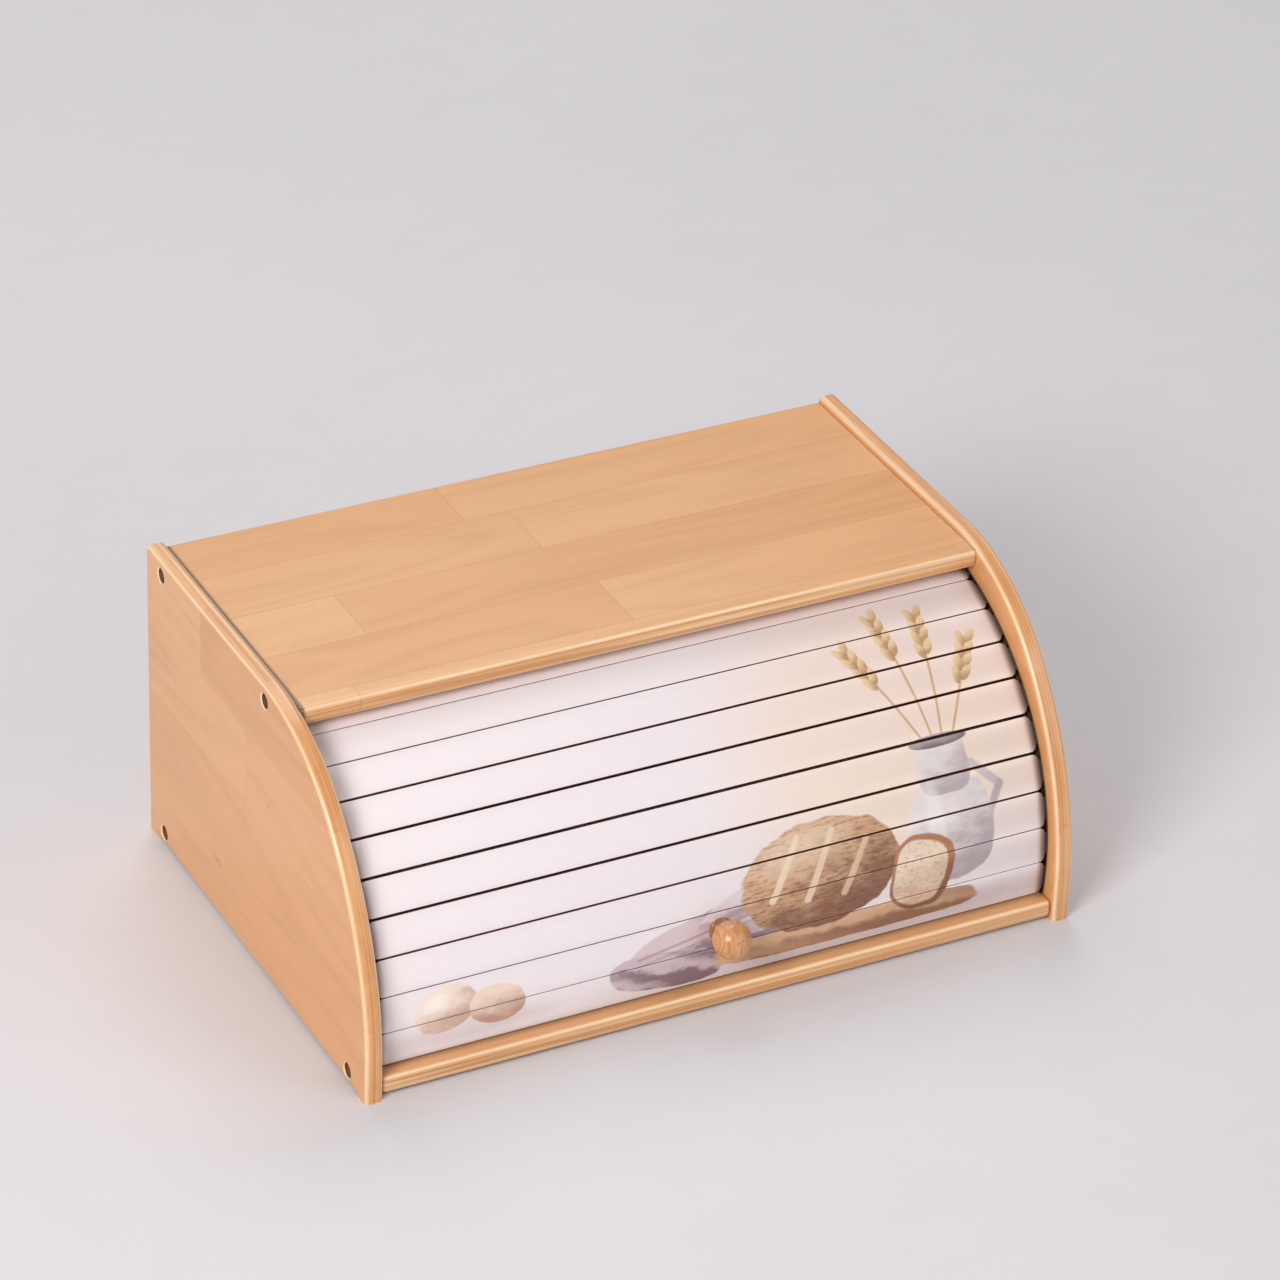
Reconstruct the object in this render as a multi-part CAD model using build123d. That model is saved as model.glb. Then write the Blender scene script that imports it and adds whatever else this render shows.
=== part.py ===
from build123d import *
import os
from math import acos, asin, atan2, cos, degrees, radians, sin, sqrt, tan

# A bread box with a roll-top door. Two upright sides carry a top board, a bottom board and a
# thin back. The door is a row of slats glued to a canvas. The slats' tongues run in a round
# groove cut in each side, so the door rolls up and back, under the top board, about one axis.
# Millimetres, +Z up, front towards -Y. Sizes below are measured from the front edge of the
# sides (y = 0) and from the table (z = 0); the export moves the origin to the middle of the
# whole object's footprint.

# ---------------------------------------------------------------- driving dimensions: case
overall_width = 400.0        # over the outer faces of the two sides
overall_depth = 272.0        # front edge to back edge of a side
overall_height = 172.0       # table to the top of a side
side_thickness = 10.0
top_thickness = 10.0
bottom_thickness = 10.0
back_thickness = 5.0
side_rim = 3.5               # how far the sides stand above the top board
board_lift = 2.0             # bottom board above the table
board_setback = 2.0          # bottom board's front edge behind the sides' front edge
top_overhang = 37.0          # top board's front edge ahead of the door's axis
arris = 3.0                  # rounding of the long edges of the boards
board_corner = 3.0           # rounding of the bottom board's two front corners, seen from above
foot_length_front = 9.0      # the parts of a side that stand on the table
foot_length_back = 14.0
relief_height = 2.5          # hollow under a side between its two feet
rebate = 5.0                 # step in the boards' back edges that the back is let into
back_play = 0.3              # the back inside its rebates, on each edge

# ---------------------------------------------------------------- driving dimensions: door
door_inset = 10.5            # slat faces behind the sides' front edge, at the axis' height
axis_above_board = 17.8      # door's axis above the bottom board's upper face
door_top_clearance = 1.4     # slat faces below the top board
door_tuck = 41.0             # length of closed door that is hidden behind the top's edge
slat_count = 11
slat_thickness = 6.0
slat_joint = 0.1             # space between two slats at the canvas
slat_arris = 1.0             # rounding round a slat's shown face
slat_corner = 3.5            # rounding of a slat's four corners, seen from the front
slat_end_gap = 1.3           # slat's full thickness to the side's inner face
tongue_thickness = 2.6
tongue_setback = 1.4         # tongue behind the slat's face
tongue_shoulder = 3.6        # slat wider than its tongue, on each long edge
tongue_end_play = 1.0
groove_depth = 5.5
groove_play = 0.5            # tongue to each wall of the groove
groove_end_play = 1.0        # end of the groove past the last tongue
canvas_thickness = 0.8
canvas_margin = 9.0          # canvas short of the slats' full thickness at each end

# ---------------------------------------------------------------- driving dimensions: side curve
front_curve_height = 22.0    # the sides' front edge is upright up to here
front_curve_margin = 39.9    # front curve's radius over the door's
shoulder_margin = 17.3       # shoulder curve's radius under the door's

# ---------------------------------------------------------------- driving dimensions: knob
knob_slat = 1                # counted from the bottom, from 0
knob_radius = 10.0
knob_neck_radius = 4.4
knob_foot_radius = 6.4
knob_foot_height = 1.8
knob_neck_height = 3.6
knob_stop_gap = 5.0          # knob to the top board's edge when the door is open
knob_screw_depth = 10.0      # screw in the knob

# ---------------------------------------------------------------- driving dimensions: fastenings
screw_radius = 2.0
screw_head_radius = 3.6
screw_cone_height = 1.8
screw_length = 32.0
screw_point = 3.0
screw_seat_depth = 2.6       # head below the side's outer face
screw_well_radius = 4.0
well_chamfer = 0.7
cross_width = 1.1
cross_length = 4.4
cross_depth = 1.3
fit_play = 0.05              # fastening in its hole, on the radius
screw_from_back = 18.0       # back pair of side screws, from the sides' back edge
bottom_screw_from_front = 22.0
top_screw_from_edge = 22.0   # front pair in the top board, from that board's front edge
knob_screw_head_radius = 3.4
knob_screw_head_height = 2.2
washer_radius = 5.0
washer_thickness = 0.8
pin_radius = 0.75
pin_length = 15.0
pin_head_radius = 1.5
pin_head_height = 0.8
pin_columns = 5              # panel pins along the top and along the bottom of the back
pin_end_distance = 30.0      # outer pins from the back's ends

# ---------------------------------------------------------------- worked out: case
inner_half = overall_width / 2 - side_thickness
inner_width = 2 * inner_half
board_top = board_lift + bottom_thickness
top_surface = overall_height - side_rim
top_underside = top_surface - top_thickness
back_face = overall_depth - back_thickness

# ---------------------------------------------------------------- worked out: door
axis_z = board_top + axis_above_board
face_radius = top_underside - door_top_clearance - axis_z
axis_y = door_inset + face_radius
top_front = axis_y - top_overhang
foot_angle = -degrees(asin(axis_above_board / face_radius))
edge_angle = degrees(acos(top_overhang / face_radius))
pitch = (edge_angle + degrees(door_tuck / face_radius) - foot_angle) / slat_count
inner_radius = face_radius - slat_thickness
slat_width = 2 * inner_radius * tan(radians(pitch / 2)) - slat_joint
slat_angles = [foot_angle + (n + 0.5) * pitch for n in range(slat_count)]
tongue_width = slat_width - 2 * tongue_shoulder
tongue_outer = face_radius - tongue_setback
tongue_inner = tongue_outer - tongue_thickness
tongue_end = inner_half + groove_depth - tongue_end_play
slat_half = inner_half - slat_end_gap
canvas_half = slat_half - canvas_margin
groove_inner = tongue_inner - groove_play
groove_outer = sqrt(tongue_outer**2 + (tongue_width / 2) ** 2) + groove_play

# ---------------------------------------------------------------- worked out: knob and stops
knob_centre = knob_neck_height + sqrt(knob_radius**2 - knob_neck_radius**2)
knob_path = face_radius + knob_centre
knob_stop_angle = degrees(acos((top_overhang + knob_radius + knob_stop_gap) / knob_path))
back_limit = (back_face - axis_y - groove_play) / sqrt(face_radius**2 + slat_width**2 / 4)
back_stop_angle = 180 - degrees(acos(min(1.0, back_limit))) - pitch / 2
opening = min(knob_stop_angle - slat_angles[knob_slat], back_stop_angle - slat_angles[-1])
knob_front = axis_y - knob_path * cos(radians(slat_angles[knob_slat])) - knob_radius
origin_y = (min(0.0, knob_front) + overall_depth) / 2


def door_plane(radius, angle):
    """Plane on the door's circle: local z points out of the box, local y up along the door."""
    out = (0, -cos(radians(angle)), sin(radians(angle)))
    centre = (0, axis_y + radius * out[1], axis_z + radius * out[2])
    return Plane(origin=centre, x_dir=(1, 0, 0), z_dir=out)


def turned(points_and_arcs):
    """Solid of revolution about local z from a closed outline in the local x-z half plane."""
    return revolve(Plane.XZ * make_face(points_and_arcs), axis=Axis.Z)


def flat_across(edge):
    return edge.bounding_box().size.X < 0.01


# ---------------------------------------------------------------- sides
def side_outline():
    """Outline of a side: upright front, front curve, shoulder curve, flat top, two feet."""
    front_radius = face_radius + front_curve_margin
    shoulder_radius = face_radius - shoulder_margin
    shoulder_z = overall_height - shoulder_radius
    join = degrees(asin((shoulder_z - front_curve_height) / (front_radius - shoulder_radius)))
    shoulder_y = front_radius - (front_radius - shoulder_radius) * cos(radians(join))
    step = relief_height
    heel = overall_depth - foot_length_back
    return make_face([
        Line((0, 0), (0, front_curve_height)),
        CenterArc((front_radius, front_curve_height), front_radius, 180, -join),
        CenterArc((shoulder_y, shoulder_z), shoulder_radius, 180 - join, join - 90),
        Line((shoulder_y, overall_height), (overall_depth, overall_height)),
        Line((overall_depth, overall_height), (overall_depth, 0)),
        Line((overall_depth, 0), (heel, 0)),
        CenterArc((heel - step, 0), step, 0, 90),
        Line((heel - step, step), (foot_length_front + step, step)),
        CenterArc((foot_length_front + step, 0), step, 90, 90),
        Line((foot_length_front, 0), (0, 0)),
    ])


def groove():
    """The round groove that the slats' tongues run in, from its lower to its upper stop."""
    half_tongue = degrees(atan2(tongue_width / 2, tongue_inner))
    end_play = degrees(groove_end_play / face_radius)
    low = slat_angles[0] - half_tongue - end_play
    high = slat_angles[-1] + half_tongue + opening + end_play

    def at(radius, angle):
        return (axis_y - radius * cos(radians(angle)), axis_z + radius * sin(radians(angle)))

    sector = make_face([
        CenterArc((axis_y, axis_z), groove_outer, 180 - low, low - high),
        Line(at(groove_outer, high), at(groove_inner, high)),
        CenterArc((axis_y, axis_z), groove_inner, 180 - high, high - low),
        Line(at(groove_inner, low), at(groove_outer, low)),
    ])
    return Pos(inner_half, 0, 0) * extrude(Plane.YZ * sector, groove_depth)


def screw_places():
    """(y, z) of the side screws: two in the top board's end, two in the bottom board's."""
    top_z = top_underside + top_thickness / 2
    bottom_z = board_lift + bottom_thickness / 2
    back_y = overall_depth - screw_from_back
    top = [(top_front + top_screw_from_edge, top_z), (back_y, top_z)]
    bottom = [(bottom_screw_from_front, bottom_z), (back_y, bottom_z)]
    return top, bottom


def screw_profile(play):
    """Outline of a countersunk screw, head at the local origin and shank down local -z."""
    head, shank, tip = screw_head_radius + play, screw_radius + play, screw_length + play
    return Polyline(
        (0, 0), (head, 0), (shank, -screw_cone_height), (shank, -tip + screw_point),
        (0, -tip), close=True,
    )


def right_screw_plane(y, z):
    """A right-hand side screw's own plane: its head faces +X, in the well of the side."""
    head_x = overall_width / 2 - screw_seat_depth
    return Plane(origin=(head_x, y, z), x_dir=(0, 1, 0), z_dir=(1, 0, 0))


def screw_hole():
    """What a side screw takes out of the wood: shank, cone and the well over the head."""
    well = Cylinder(
        screw_well_radius, screw_seat_depth, align=(Align.CENTER, Align.CENTER, Align.MIN)
    )
    mouth = Pos(0, 0, screw_seat_depth - well_chamfer) * Cone(
        screw_well_radius, screw_well_radius + well_chamfer, well_chamfer,
        align=(Align.CENTER, Align.CENTER, Align.MIN),
    )
    return turned(screw_profile(fit_play)) + well + mouth


def side_screw():
    recess = Box(cross_length, cross_width, cross_depth, align=(Align.CENTER, Align.CENTER, Align.MAX))
    return turned(screw_profile(0)) - recess - Rot(0, 0, 90) * recess


def right_side():
    blank = Pos(inner_half, 0, 0) * extrude(Plane.YZ * side_outline(), side_thickness)
    shown = [
        edge for edge in blank.edges()
        if flat_across(edge) and edge.center().Z > 2 * relief_height
        and edge.center().Y < overall_depth - arris
    ]
    side = fillet(shown, min(arris, 0.45 * side_thickness))
    let_in = Pos(inner_half, back_face, board_top - rebate) * Box(
        rebate, back_thickness, top_underside - board_top + 2 * rebate,
        align=(Align.MIN, Align.MIN, Align.MIN),
    )
    side = side - groove() - let_in
    for y, z in sum(screw_places(), []):
        side -= right_screw_plane(y, z) * screw_hole()
    return side


# ---------------------------------------------------------------- boards and back
def board(front, low, thickness, rebate_low, corner=0.0):
    """A board between the sides with rounded front edges and a rebate for the back."""
    blank = Pos(0, front, low) * Box(
        inner_width, overall_depth - front, thickness, align=(Align.CENTER, Align.MIN, Align.MIN)
    )
    if corner:
        blank = fillet(blank.edges().filter_by(Axis.Z).group_by(Axis.Y)[0], corner)
    rounded = blank.faces().sort_by(Axis.Y)[0].edges().filter_by(Axis.X)
    shaped = fillet(rounded, min(arris, 0.45 * thickness))
    step = Pos(0, back_face, rebate_low) * Box(
        inner_width, back_thickness, rebate, align=(Align.CENTER, Align.MIN, Align.MIN)
    )
    return shaped - step


def bored_board(blank, places):
    """The board with its pilot holes for the side screws and the panel pins."""
    for y, z in places:
        hole = right_screw_plane(y, z) * turned(screw_profile(fit_play))
        blank = blank - hole - mirror(hole, about=Plane.YZ)
    for plane in pin_planes():
        blank -= plane * pin(fit_play)
    return blank


def pin_planes():
    """Places of the panel pins: a row in the top board's rebate and one in the bottom's."""
    reach = inner_half - pin_end_distance
    rows = [board_top - rebate / 2, top_underside + rebate / 2]
    return [
        Plane(origin=(-reach + 2 * reach * n / (pin_columns - 1), overall_depth, z),
              x_dir=(1, 0, 0), z_dir=(0, 1, 0))
        for z in rows for n in range(pin_columns)
    ]


def pin(play):
    """A panel pin, or its hole: head flush with local z = 0, shank down local -z."""
    down = (Align.CENTER, Align.CENTER, Align.MAX)
    head = Cylinder(pin_head_radius + play, pin_head_height, align=down)
    return head + Cylinder(pin_radius + play, pin_length + play, align=down)


def back_panel():
    low, high = board_top - rebate + back_play, top_underside + rebate - back_play
    sheet = Pos(0, back_face, low) * Box(
        inner_width + 2 * (rebate - back_play), back_thickness, high - low,
        align=(Align.CENTER, Align.MIN, Align.MIN),
    )
    for plane in pin_planes():
        sheet -= plane * pin(fit_play)
    return sheet


# ---------------------------------------------------------------- door
def slat(with_knob):
    """A slat lying face up: local z = 0 is its shown face, tongues at both ends."""
    top_down = (Align.CENTER, Align.CENTER, Align.MAX)
    body = Box(2 * slat_half, slat_width, slat_thickness, align=top_down)
    body = fillet(body.edges().filter_by(Axis.Z), min(slat_corner, 0.2 * slat_width))
    body = fillet(body.faces().sort_by(Axis.Z)[-1].edges(), min(slat_arris, 0.3 * slat_thickness))
    tongue = Pos(0, 0, -tongue_setback) * Box(
        2 * tongue_end, tongue_width, tongue_thickness, align=top_down
    )
    whole = body + tongue
    if with_knob:
        whole -= Cylinder(screw_radius + fit_play, 4 * slat_thickness)
    return whole


def backing_canvas():
    """Canvas glued to the slats' backs: flat behind each slat, folded at each joint."""
    def fold_line(radius):
        reach = radius / cos(radians(pitch / 2))
        angles = [foot_angle + n * pitch for n in range(slat_count + 1)]
        return [(axis_y - reach * cos(radians(a)), axis_z + reach * sin(radians(a))) for a in angles]

    outline = fold_line(inner_radius) + fold_line(inner_radius - canvas_thickness)[::-1]
    strip = extrude(Plane.YZ * make_face(Polyline(*outline, close=True)), canvas_half, both=True)
    hole = Cylinder(screw_radius + fit_play, 4 * slat_thickness)
    return strip - door_plane(inner_radius, slat_angles[knob_slat]) * hole


def knob():
    """A turned ball on a short waisted foot, bored for its screw."""
    foot_edge = (knob_foot_radius, knob_foot_height)
    neck = (knob_neck_radius, knob_neck_height)
    waist = ((foot_edge[0] + neck[0]) / 2 - 0.4, (foot_edge[1] + neck[1]) / 2 - 0.2)
    rise = degrees(atan2(neck[1] - knob_centre, neck[0]))
    body = turned([
        Line((0, 0), (knob_foot_radius, 0)),
        Line((knob_foot_radius, 0), foot_edge),
        ThreePointArc(foot_edge, waist, neck),
        CenterArc((0, knob_centre), knob_radius, rise, 90 - rise),
        Line((0, knob_centre + knob_radius), (0, 0)),
    ])
    bore = Cylinder(
        screw_radius + fit_play, knob_screw_depth, align=(Align.CENTER, Align.CENTER, Align.MIN)
    )
    return body - bore


def knob_washer():
    down = (Align.CENTER, Align.CENTER, Align.MAX)
    ring = Cylinder(washer_radius, washer_thickness, align=down)
    return ring - Cylinder(screw_radius + fit_play, 3 * washer_thickness)


def knob_screw():
    """Pan-head screw from inside: head towards local -z, shank up through canvas and slat."""
    head_face = -slat_thickness - canvas_thickness - washer_thickness
    down = (Align.CENTER, Align.CENTER, Align.MAX)
    up = (Align.CENTER, Align.CENTER, Align.MIN)
    head = Cylinder(knob_screw_head_radius, knob_screw_head_height, align=down)
    crown = head.faces().sort_by(Axis.Z)[0].edges()
    head = Pos(0, 0, head_face) * fillet(crown, 0.45 * knob_screw_head_height)
    shank = Pos(0, 0, head_face) * Cylinder(
        screw_radius, knob_screw_depth - 1 - head_face, align=up
    )
    recess = Pos(0, 0, head_face - knob_screw_head_height) * Box(
        cross_length, cross_width, cross_depth, align=(Align.CENTER, Align.CENTER, Align.MIN)
    )
    return head + shank - recess - Rot(0, 0, 90) * recess


# ---------------------------------------------------------------- the whole box
def make_parts():
    right = right_side()
    top_places, bottom_places = screw_places()
    parts = {
        "side_panel_right": right,
        "side_panel_left": mirror(right, about=Plane.YZ),
        "top_panel": bored_board(
            board(top_front, top_underside, top_thickness, top_underside), top_places
        ),
        "bottom_panel": bored_board(
            board(board_setback, board_lift, bottom_thickness, board_top - rebate, board_corner),
            bottom_places,
        ),
        "back_panel": back_panel(),
        "backing_canvas": backing_canvas(),
    }
    for name, places in (("top_screws", top_places), ("bottom_screws", bottom_places)):
        right_hand = [right_screw_plane(y, z) * side_screw() for y, z in places]
        parts[name] = Compound(right_hand + [mirror(s, about=Plane.YZ) for s in right_hand])
    parts["back_pins"] = Compound([plane * pin(0) for plane in pin_planes()])
    for n, angle in enumerate(slat_angles):
        parts[f"slat_{n + 1:02d}"] = door_plane(face_radius, angle) * slat(n == knob_slat)
    at_knob = door_plane(face_radius, slat_angles[knob_slat])
    parts["knob"] = at_knob * knob()
    parts["knob_screw"] = at_knob * knob_screw()
    parts["knob_washer"] = at_knob * Pos(0, 0, -slat_thickness - canvas_thickness) * knob_washer()
    return parts


os.makedirs("parts", exist_ok=True)
for node, shape in make_parts().items():
    export_step(Pos(0, -origin_y, 0) * shape, f"parts/{node}.step")

print(f"origin {origin_y:.3f} behind the sides' front edge")
print(f"door axis y {axis_y - origin_y:.3f}, z {axis_z:.3f}; face radius {face_radius:.3f}")
print(f"slat pitch {pitch:.3f} deg, width {slat_width:.3f}; door opens {opening:.3f} deg")
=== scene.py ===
"""Looks of a wooden bread box with a roll-top door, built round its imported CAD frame.

The boards, the back and the fastenings keep their CAD shapes and get their finishes here. The
door's slats, its canvas and the turned knob are modelled here in their place. Everything is in
metres, in the frame's own axes: +X to the right, -Y to the front, +Z up.
"""

from __future__ import annotations

import logging
import math
from collections.abc import Callable, Iterator
from contextlib import contextmanager
from dataclasses import dataclass, field
from enum import Enum

import bmesh
import bpy
from mathutils import Matrix, Vector

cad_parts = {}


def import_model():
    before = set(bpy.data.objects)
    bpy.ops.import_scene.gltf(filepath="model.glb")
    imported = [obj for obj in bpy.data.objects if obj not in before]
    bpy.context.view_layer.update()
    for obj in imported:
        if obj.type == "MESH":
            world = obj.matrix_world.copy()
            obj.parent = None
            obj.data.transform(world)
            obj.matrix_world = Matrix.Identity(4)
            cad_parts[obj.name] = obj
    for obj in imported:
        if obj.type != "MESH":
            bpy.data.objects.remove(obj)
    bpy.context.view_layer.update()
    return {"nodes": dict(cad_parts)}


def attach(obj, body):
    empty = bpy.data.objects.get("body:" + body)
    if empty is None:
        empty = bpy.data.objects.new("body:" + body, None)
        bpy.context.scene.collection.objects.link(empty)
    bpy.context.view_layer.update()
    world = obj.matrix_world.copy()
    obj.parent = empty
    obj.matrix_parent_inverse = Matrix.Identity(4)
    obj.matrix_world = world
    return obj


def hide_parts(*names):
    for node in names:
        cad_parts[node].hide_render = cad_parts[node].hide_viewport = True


log = logging.getLogger("bread_box")

MM = 0.001
Colour = tuple[float, float, float]
Pair = tuple[float, float]
Triple = tuple[float, float, float]


def tint(red: int, green: int, blue: int) -> Colour:
    """A colour from its 0 to 255 values.

    Args:
        red, green, blue: Its values, from 0 to 255.

    Returns:
        The linear colour.
    """
    shares = (value / 255 for value in (red, green, blue))
    return tuple(s / 12.92 if s <= 0.04045 else ((s + 0.055) / 1.055) ** 2.4 for s in shares)


# ------------------------------------------------------------------------------ node wiring
class Wiring:
    """Places and links nodes in one node tree.

    Args:
        tree: The node tree that new nodes go into.
    """

    def __init__(self, tree: bpy.types.NodeTree) -> None:
        """Takes up work on the tree."""
        self.tree = tree

    def feed(self, socket: bpy.types.NodeSocket, value: object) -> None:
        """Links a socket to another one, or sets its plain value, a colour as opaque.

        Args:
            socket: The input to feed.
            value: The output to link to it, or the value to set.
        """
        if isinstance(value, bpy.types.NodeSocket):
            self.tree.links.new(value, socket)
        else:
            socket.default_value = (*value, 1.0) if socket.type == "RGBA" else value

    def put(self, kind: str, values: dict | None = None, **settings: object) -> bpy.types.Node:
        """Adds a shader node.

        Args:
            kind: The node's type, without its ShaderNode prefix.
            values: Input name or number to a value or a socket.
            **settings: The node's own properties.

        Returns:
            The new node.
        """
        node = self.tree.nodes.new("ShaderNode" + kind)
        for key, value in settings.items():
            setattr(node, key, value)
        for key, value in (values or {}).items():
            self.feed(node.inputs[key], value)
        return node

    def math(self, operation: str, *values: object, clamp: bool = False) -> bpy.types.NodeSocket:
        """The result of a Math node on up to three values or sockets."""
        node = self.put("Math", dict(enumerate(values)), operation=operation, use_clamp=clamp)
        return node.outputs[0]

    def times(self, *values: object) -> bpy.types.NodeSocket:
        """The product of two values."""
        return self.math("MULTIPLY", *values)

    def vector(self, operation: str, *values: object) -> bpy.types.NodeSocket:
        """The vector result of a Vector Math node."""
        node = self.put("VectorMath", dict(enumerate(values)), operation=operation)
        return node.outputs["Vector"]

    def measure(self, operation: str, *values: object) -> bpy.types.NodeSocket:
        """The single number that a Vector Math node such as LENGTH or DOT_PRODUCT gives."""
        node = self.put("VectorMath", dict(enumerate(values)), operation=operation)
        return node.outputs["Value"]

    def ramp(self, value: object, low: object, high: object) -> bpy.types.NodeSocket:
        """A smooth 0 to 1 as value goes from low to high; high may lie below low."""
        inputs = {"Value": value, "From Min": low, "From Max": high}
        return self.put("MapRange", inputs, interpolation_type="SMOOTHSTEP").outputs[0]

    def spread(self, value: object, low: float, high: float) -> bpy.types.NodeSocket:
        """A 0 to 1 value spread over low to high."""
        return self.put("MapRange", {"Value": value, "To Min": low, "To Max": high}).outputs[0]

    def mix(self, factor: object, below: object, above: object) -> bpy.types.NodeSocket:
        """One colour over another by a factor."""
        return self.put("Mix", {0: factor, 6: below, 7: above}, data_type="RGBA").outputs[2]

    def stain(
        self, colour: object, mask: object, amount: object, above: object
    ) -> bpy.types.NodeSocket:
        """A colour with another laid over it where a mask is.

        Args:
            colour: The colour below.
            mask: Where the other one lies, from 0 to 1.
            amount: How far it covers.
            above: The colour laid over.

        Returns:
            The colour of both.
        """
        return self.mix(self.times(mask, amount), colour, above)

    def noise(
        self, place: object, scale: Triple, detail: float = 2.0, rough: float = 0.5
    ) -> bpy.types.NodeSocket:
        """Noise at a place.

        Args:
            place: Where to read it.
            scale: How fine it is along each axis.
            detail: Its octaves.
            rough: How strongly the finer octaves show.

        Returns:
            The noise, from 0 to 1.
        """
        inputs = {"Vector": self.vector("MULTIPLY", place, scale), "Scale": 1.0}
        inputs |= {"Detail": detail, "Roughness": rough}
        return self.put("TexNoise", inputs).outputs[0]

    def parts(self, vector: object) -> list[bpy.types.NodeSocket]:
        """The X, Y and Z of a vector."""
        return list(self.put("SeparateXYZ", {0: vector}).outputs)

    def joined(self, x: object, y: object, z: object) -> bpy.types.NodeSocket:
        """A vector from three numbers."""
        return self.put("CombineXYZ", {0: x, 1: y, 2: z}).outputs[0]

    def group(self, tree: bpy.types.NodeTree, values: dict) -> bpy.types.bpy_prop_collection:
        """Places a shared node group.

        Args:
            tree: The group.
            values: Input name to a value or a socket.

        Returns:
            The group's outputs.
        """
        node = self.tree.nodes.new("ShaderNodeGroup")
        node.node_tree = tree
        for key, value in values.items():
            self.feed(node.inputs[key], value)
        return node.outputs


NUMBER, VECTOR, COLOUR = "NodeSocketFloat", "NodeSocketVector", "NodeSocketColor"
Sockets = dict[str, tuple[str, ...]]


class SharedEffect:
    """A shader node group with named sockets that several finishes place.

    Args:
        name: The group's name.
        takes, gives: The names of its inputs and outputs, under their kind of socket.
    """

    def __init__(self, name: str, takes: Sockets, gives: Sockets) -> None:
        """Makes the group with its sockets, and nothing between them yet."""
        self.tree = bpy.data.node_groups.new(name, "ShaderNodeTree")
        for way, kinds in (("INPUT", takes), ("OUTPUT", gives)):
            for kind, titles in kinds.items():
                for title in titles:
                    self.tree.interface.new_socket(title, in_out=way, socket_type=kind)
        self.wire = Wiring(self.tree)
        self.taken = self.tree.nodes.new("NodeGroupInput").outputs
        self.given = self.tree.nodes.new("NodeGroupOutput").inputs

    def give(self, name: str, value: object) -> None:
        """Feeds one of the group's outputs."""
        self.wire.feed(self.given[name], value)


def stave_layout() -> bpy.types.NodeTree:
    """Edge-glued staves: rows across the board, cut to staggered lengths along it.

    Returns:
        A group that gives each stave's tone and its own offset, and a mask of the glue lines.
    """
    takes = {NUMBER: ("Along", "Across", "Width", "Length", "Seed", "Line")}
    effect = SharedEffect("StaveLayout", takes, {NUMBER: ("Tone", "Seam"), VECTOR: ("Offset",)})
    wire, taken = effect.wire, effect.taken
    rows = wire.math("ADD", wire.math("DIVIDE", taken["Across"], taken["Width"]), taken["Seed"])
    row = wire.math("FLOOR", rows)
    stagger = wire.put("TexWhiteNoise", {"W": row}, noise_dimensions="1D").outputs["Value"]
    lengths = wire.math("ADD", wire.math("DIVIDE", taken["Along"], taken["Length"]), stagger)
    lengths = wire.math("ADD", lengths, taken["Seed"])
    stave = wire.joined(row, wire.math("FLOOR", lengths), taken["Seed"])
    chance = wire.put("TexWhiteNoise", {"Vector": stave}, noise_dimensions="3D")
    seam = None
    for count, size in ((rows, taken["Width"]), (lengths, taken["Length"])):
        edge = wire.times(wire.math("PINGPONG", count, 0.5), size)
        line = wire.ramp(edge, taken["Line"], 0.0)
        seam = line if seam is None else wire.math("MAXIMUM", seam, line)
    effect.give("Tone", chance.outputs["Value"])
    effect.give("Offset", chance.outputs["Color"])
    effect.give("Seam", seam)
    return effect.tree


def beech_grain() -> bpy.types.NodeTree:
    """Beech: slow figure, long fibres and the short dark flecks of the rays.

    Returns:
        A group that gives Figure, Fibre and Fleck from a place along, across and into the board.
    """
    takes = {VECTOR: ("Place", "Offset"), NUMBER: ("Rings",)}
    effect = SharedEffect("BeechGrain", takes, {NUMBER: ("Figure", "Fibre", "Fleck")})
    wire, taken = effect.wire, effect.taken
    logs_apart = 9.0
    away = wire.vector("SCALE", taken["Offset"])
    away.node.inputs["Scale"].default_value = logs_apart
    here = wire.vector("ADD", taken["Place"], away)
    swell = wire.noise(here, (2.6, 15.0, 15.0), rough=0.45)
    rings = wire.math("PINGPONG", wire.times(swell, taken["Rings"]), 0.5)
    bands = wire.ramp(rings, 0.05, 0.5)
    streaks = wire.noise(here, (5.0, 150.0, 150.0))
    effect.give("Figure", wire.times(bands, wire.ramp(streaks, 0.2, 0.75)))
    effect.give("Fibre", wire.noise(here, (30.0, 1300.0, 1300.0), rough=0.6))
    dashes = wire.noise(here, (330.0, 2100.0, 2100.0), detail=1.0)
    effect.give("Fleck", wire.ramp(dashes, 0.62, 0.72))
    return effect.tree


def arris_mask() -> bpy.types.NodeTree:
    """Where a board turns over its arrises, which get a painted highlight and are rubbed most.

    Returns:
        A group that gives Mask, where the surface turns from the face, and Edge, off the face.
    """
    effect = SharedEffect("ArrisMask", {VECTOR: ("Facing",)}, {NUMBER: ("Mask", "Edge")})
    wire = effect.wire
    normal = wire.put("TexCoord").outputs["Normal"]
    flat = wire.measure("DOT_PRODUCT", normal, effect.taken["Facing"])
    square = wire.times(flat, flat)
    turn = wire.times(square, wire.math("SUBTRACT", 1.0, square))
    turn = wire.math("MULTIPLY", turn, 4.0, clamp=True)
    effect.give("Mask", wire.math("POWER", turn, 2.5))
    effect.give("Edge", wire.math("SUBTRACT", 1.0, square))
    return effect.tree


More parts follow.
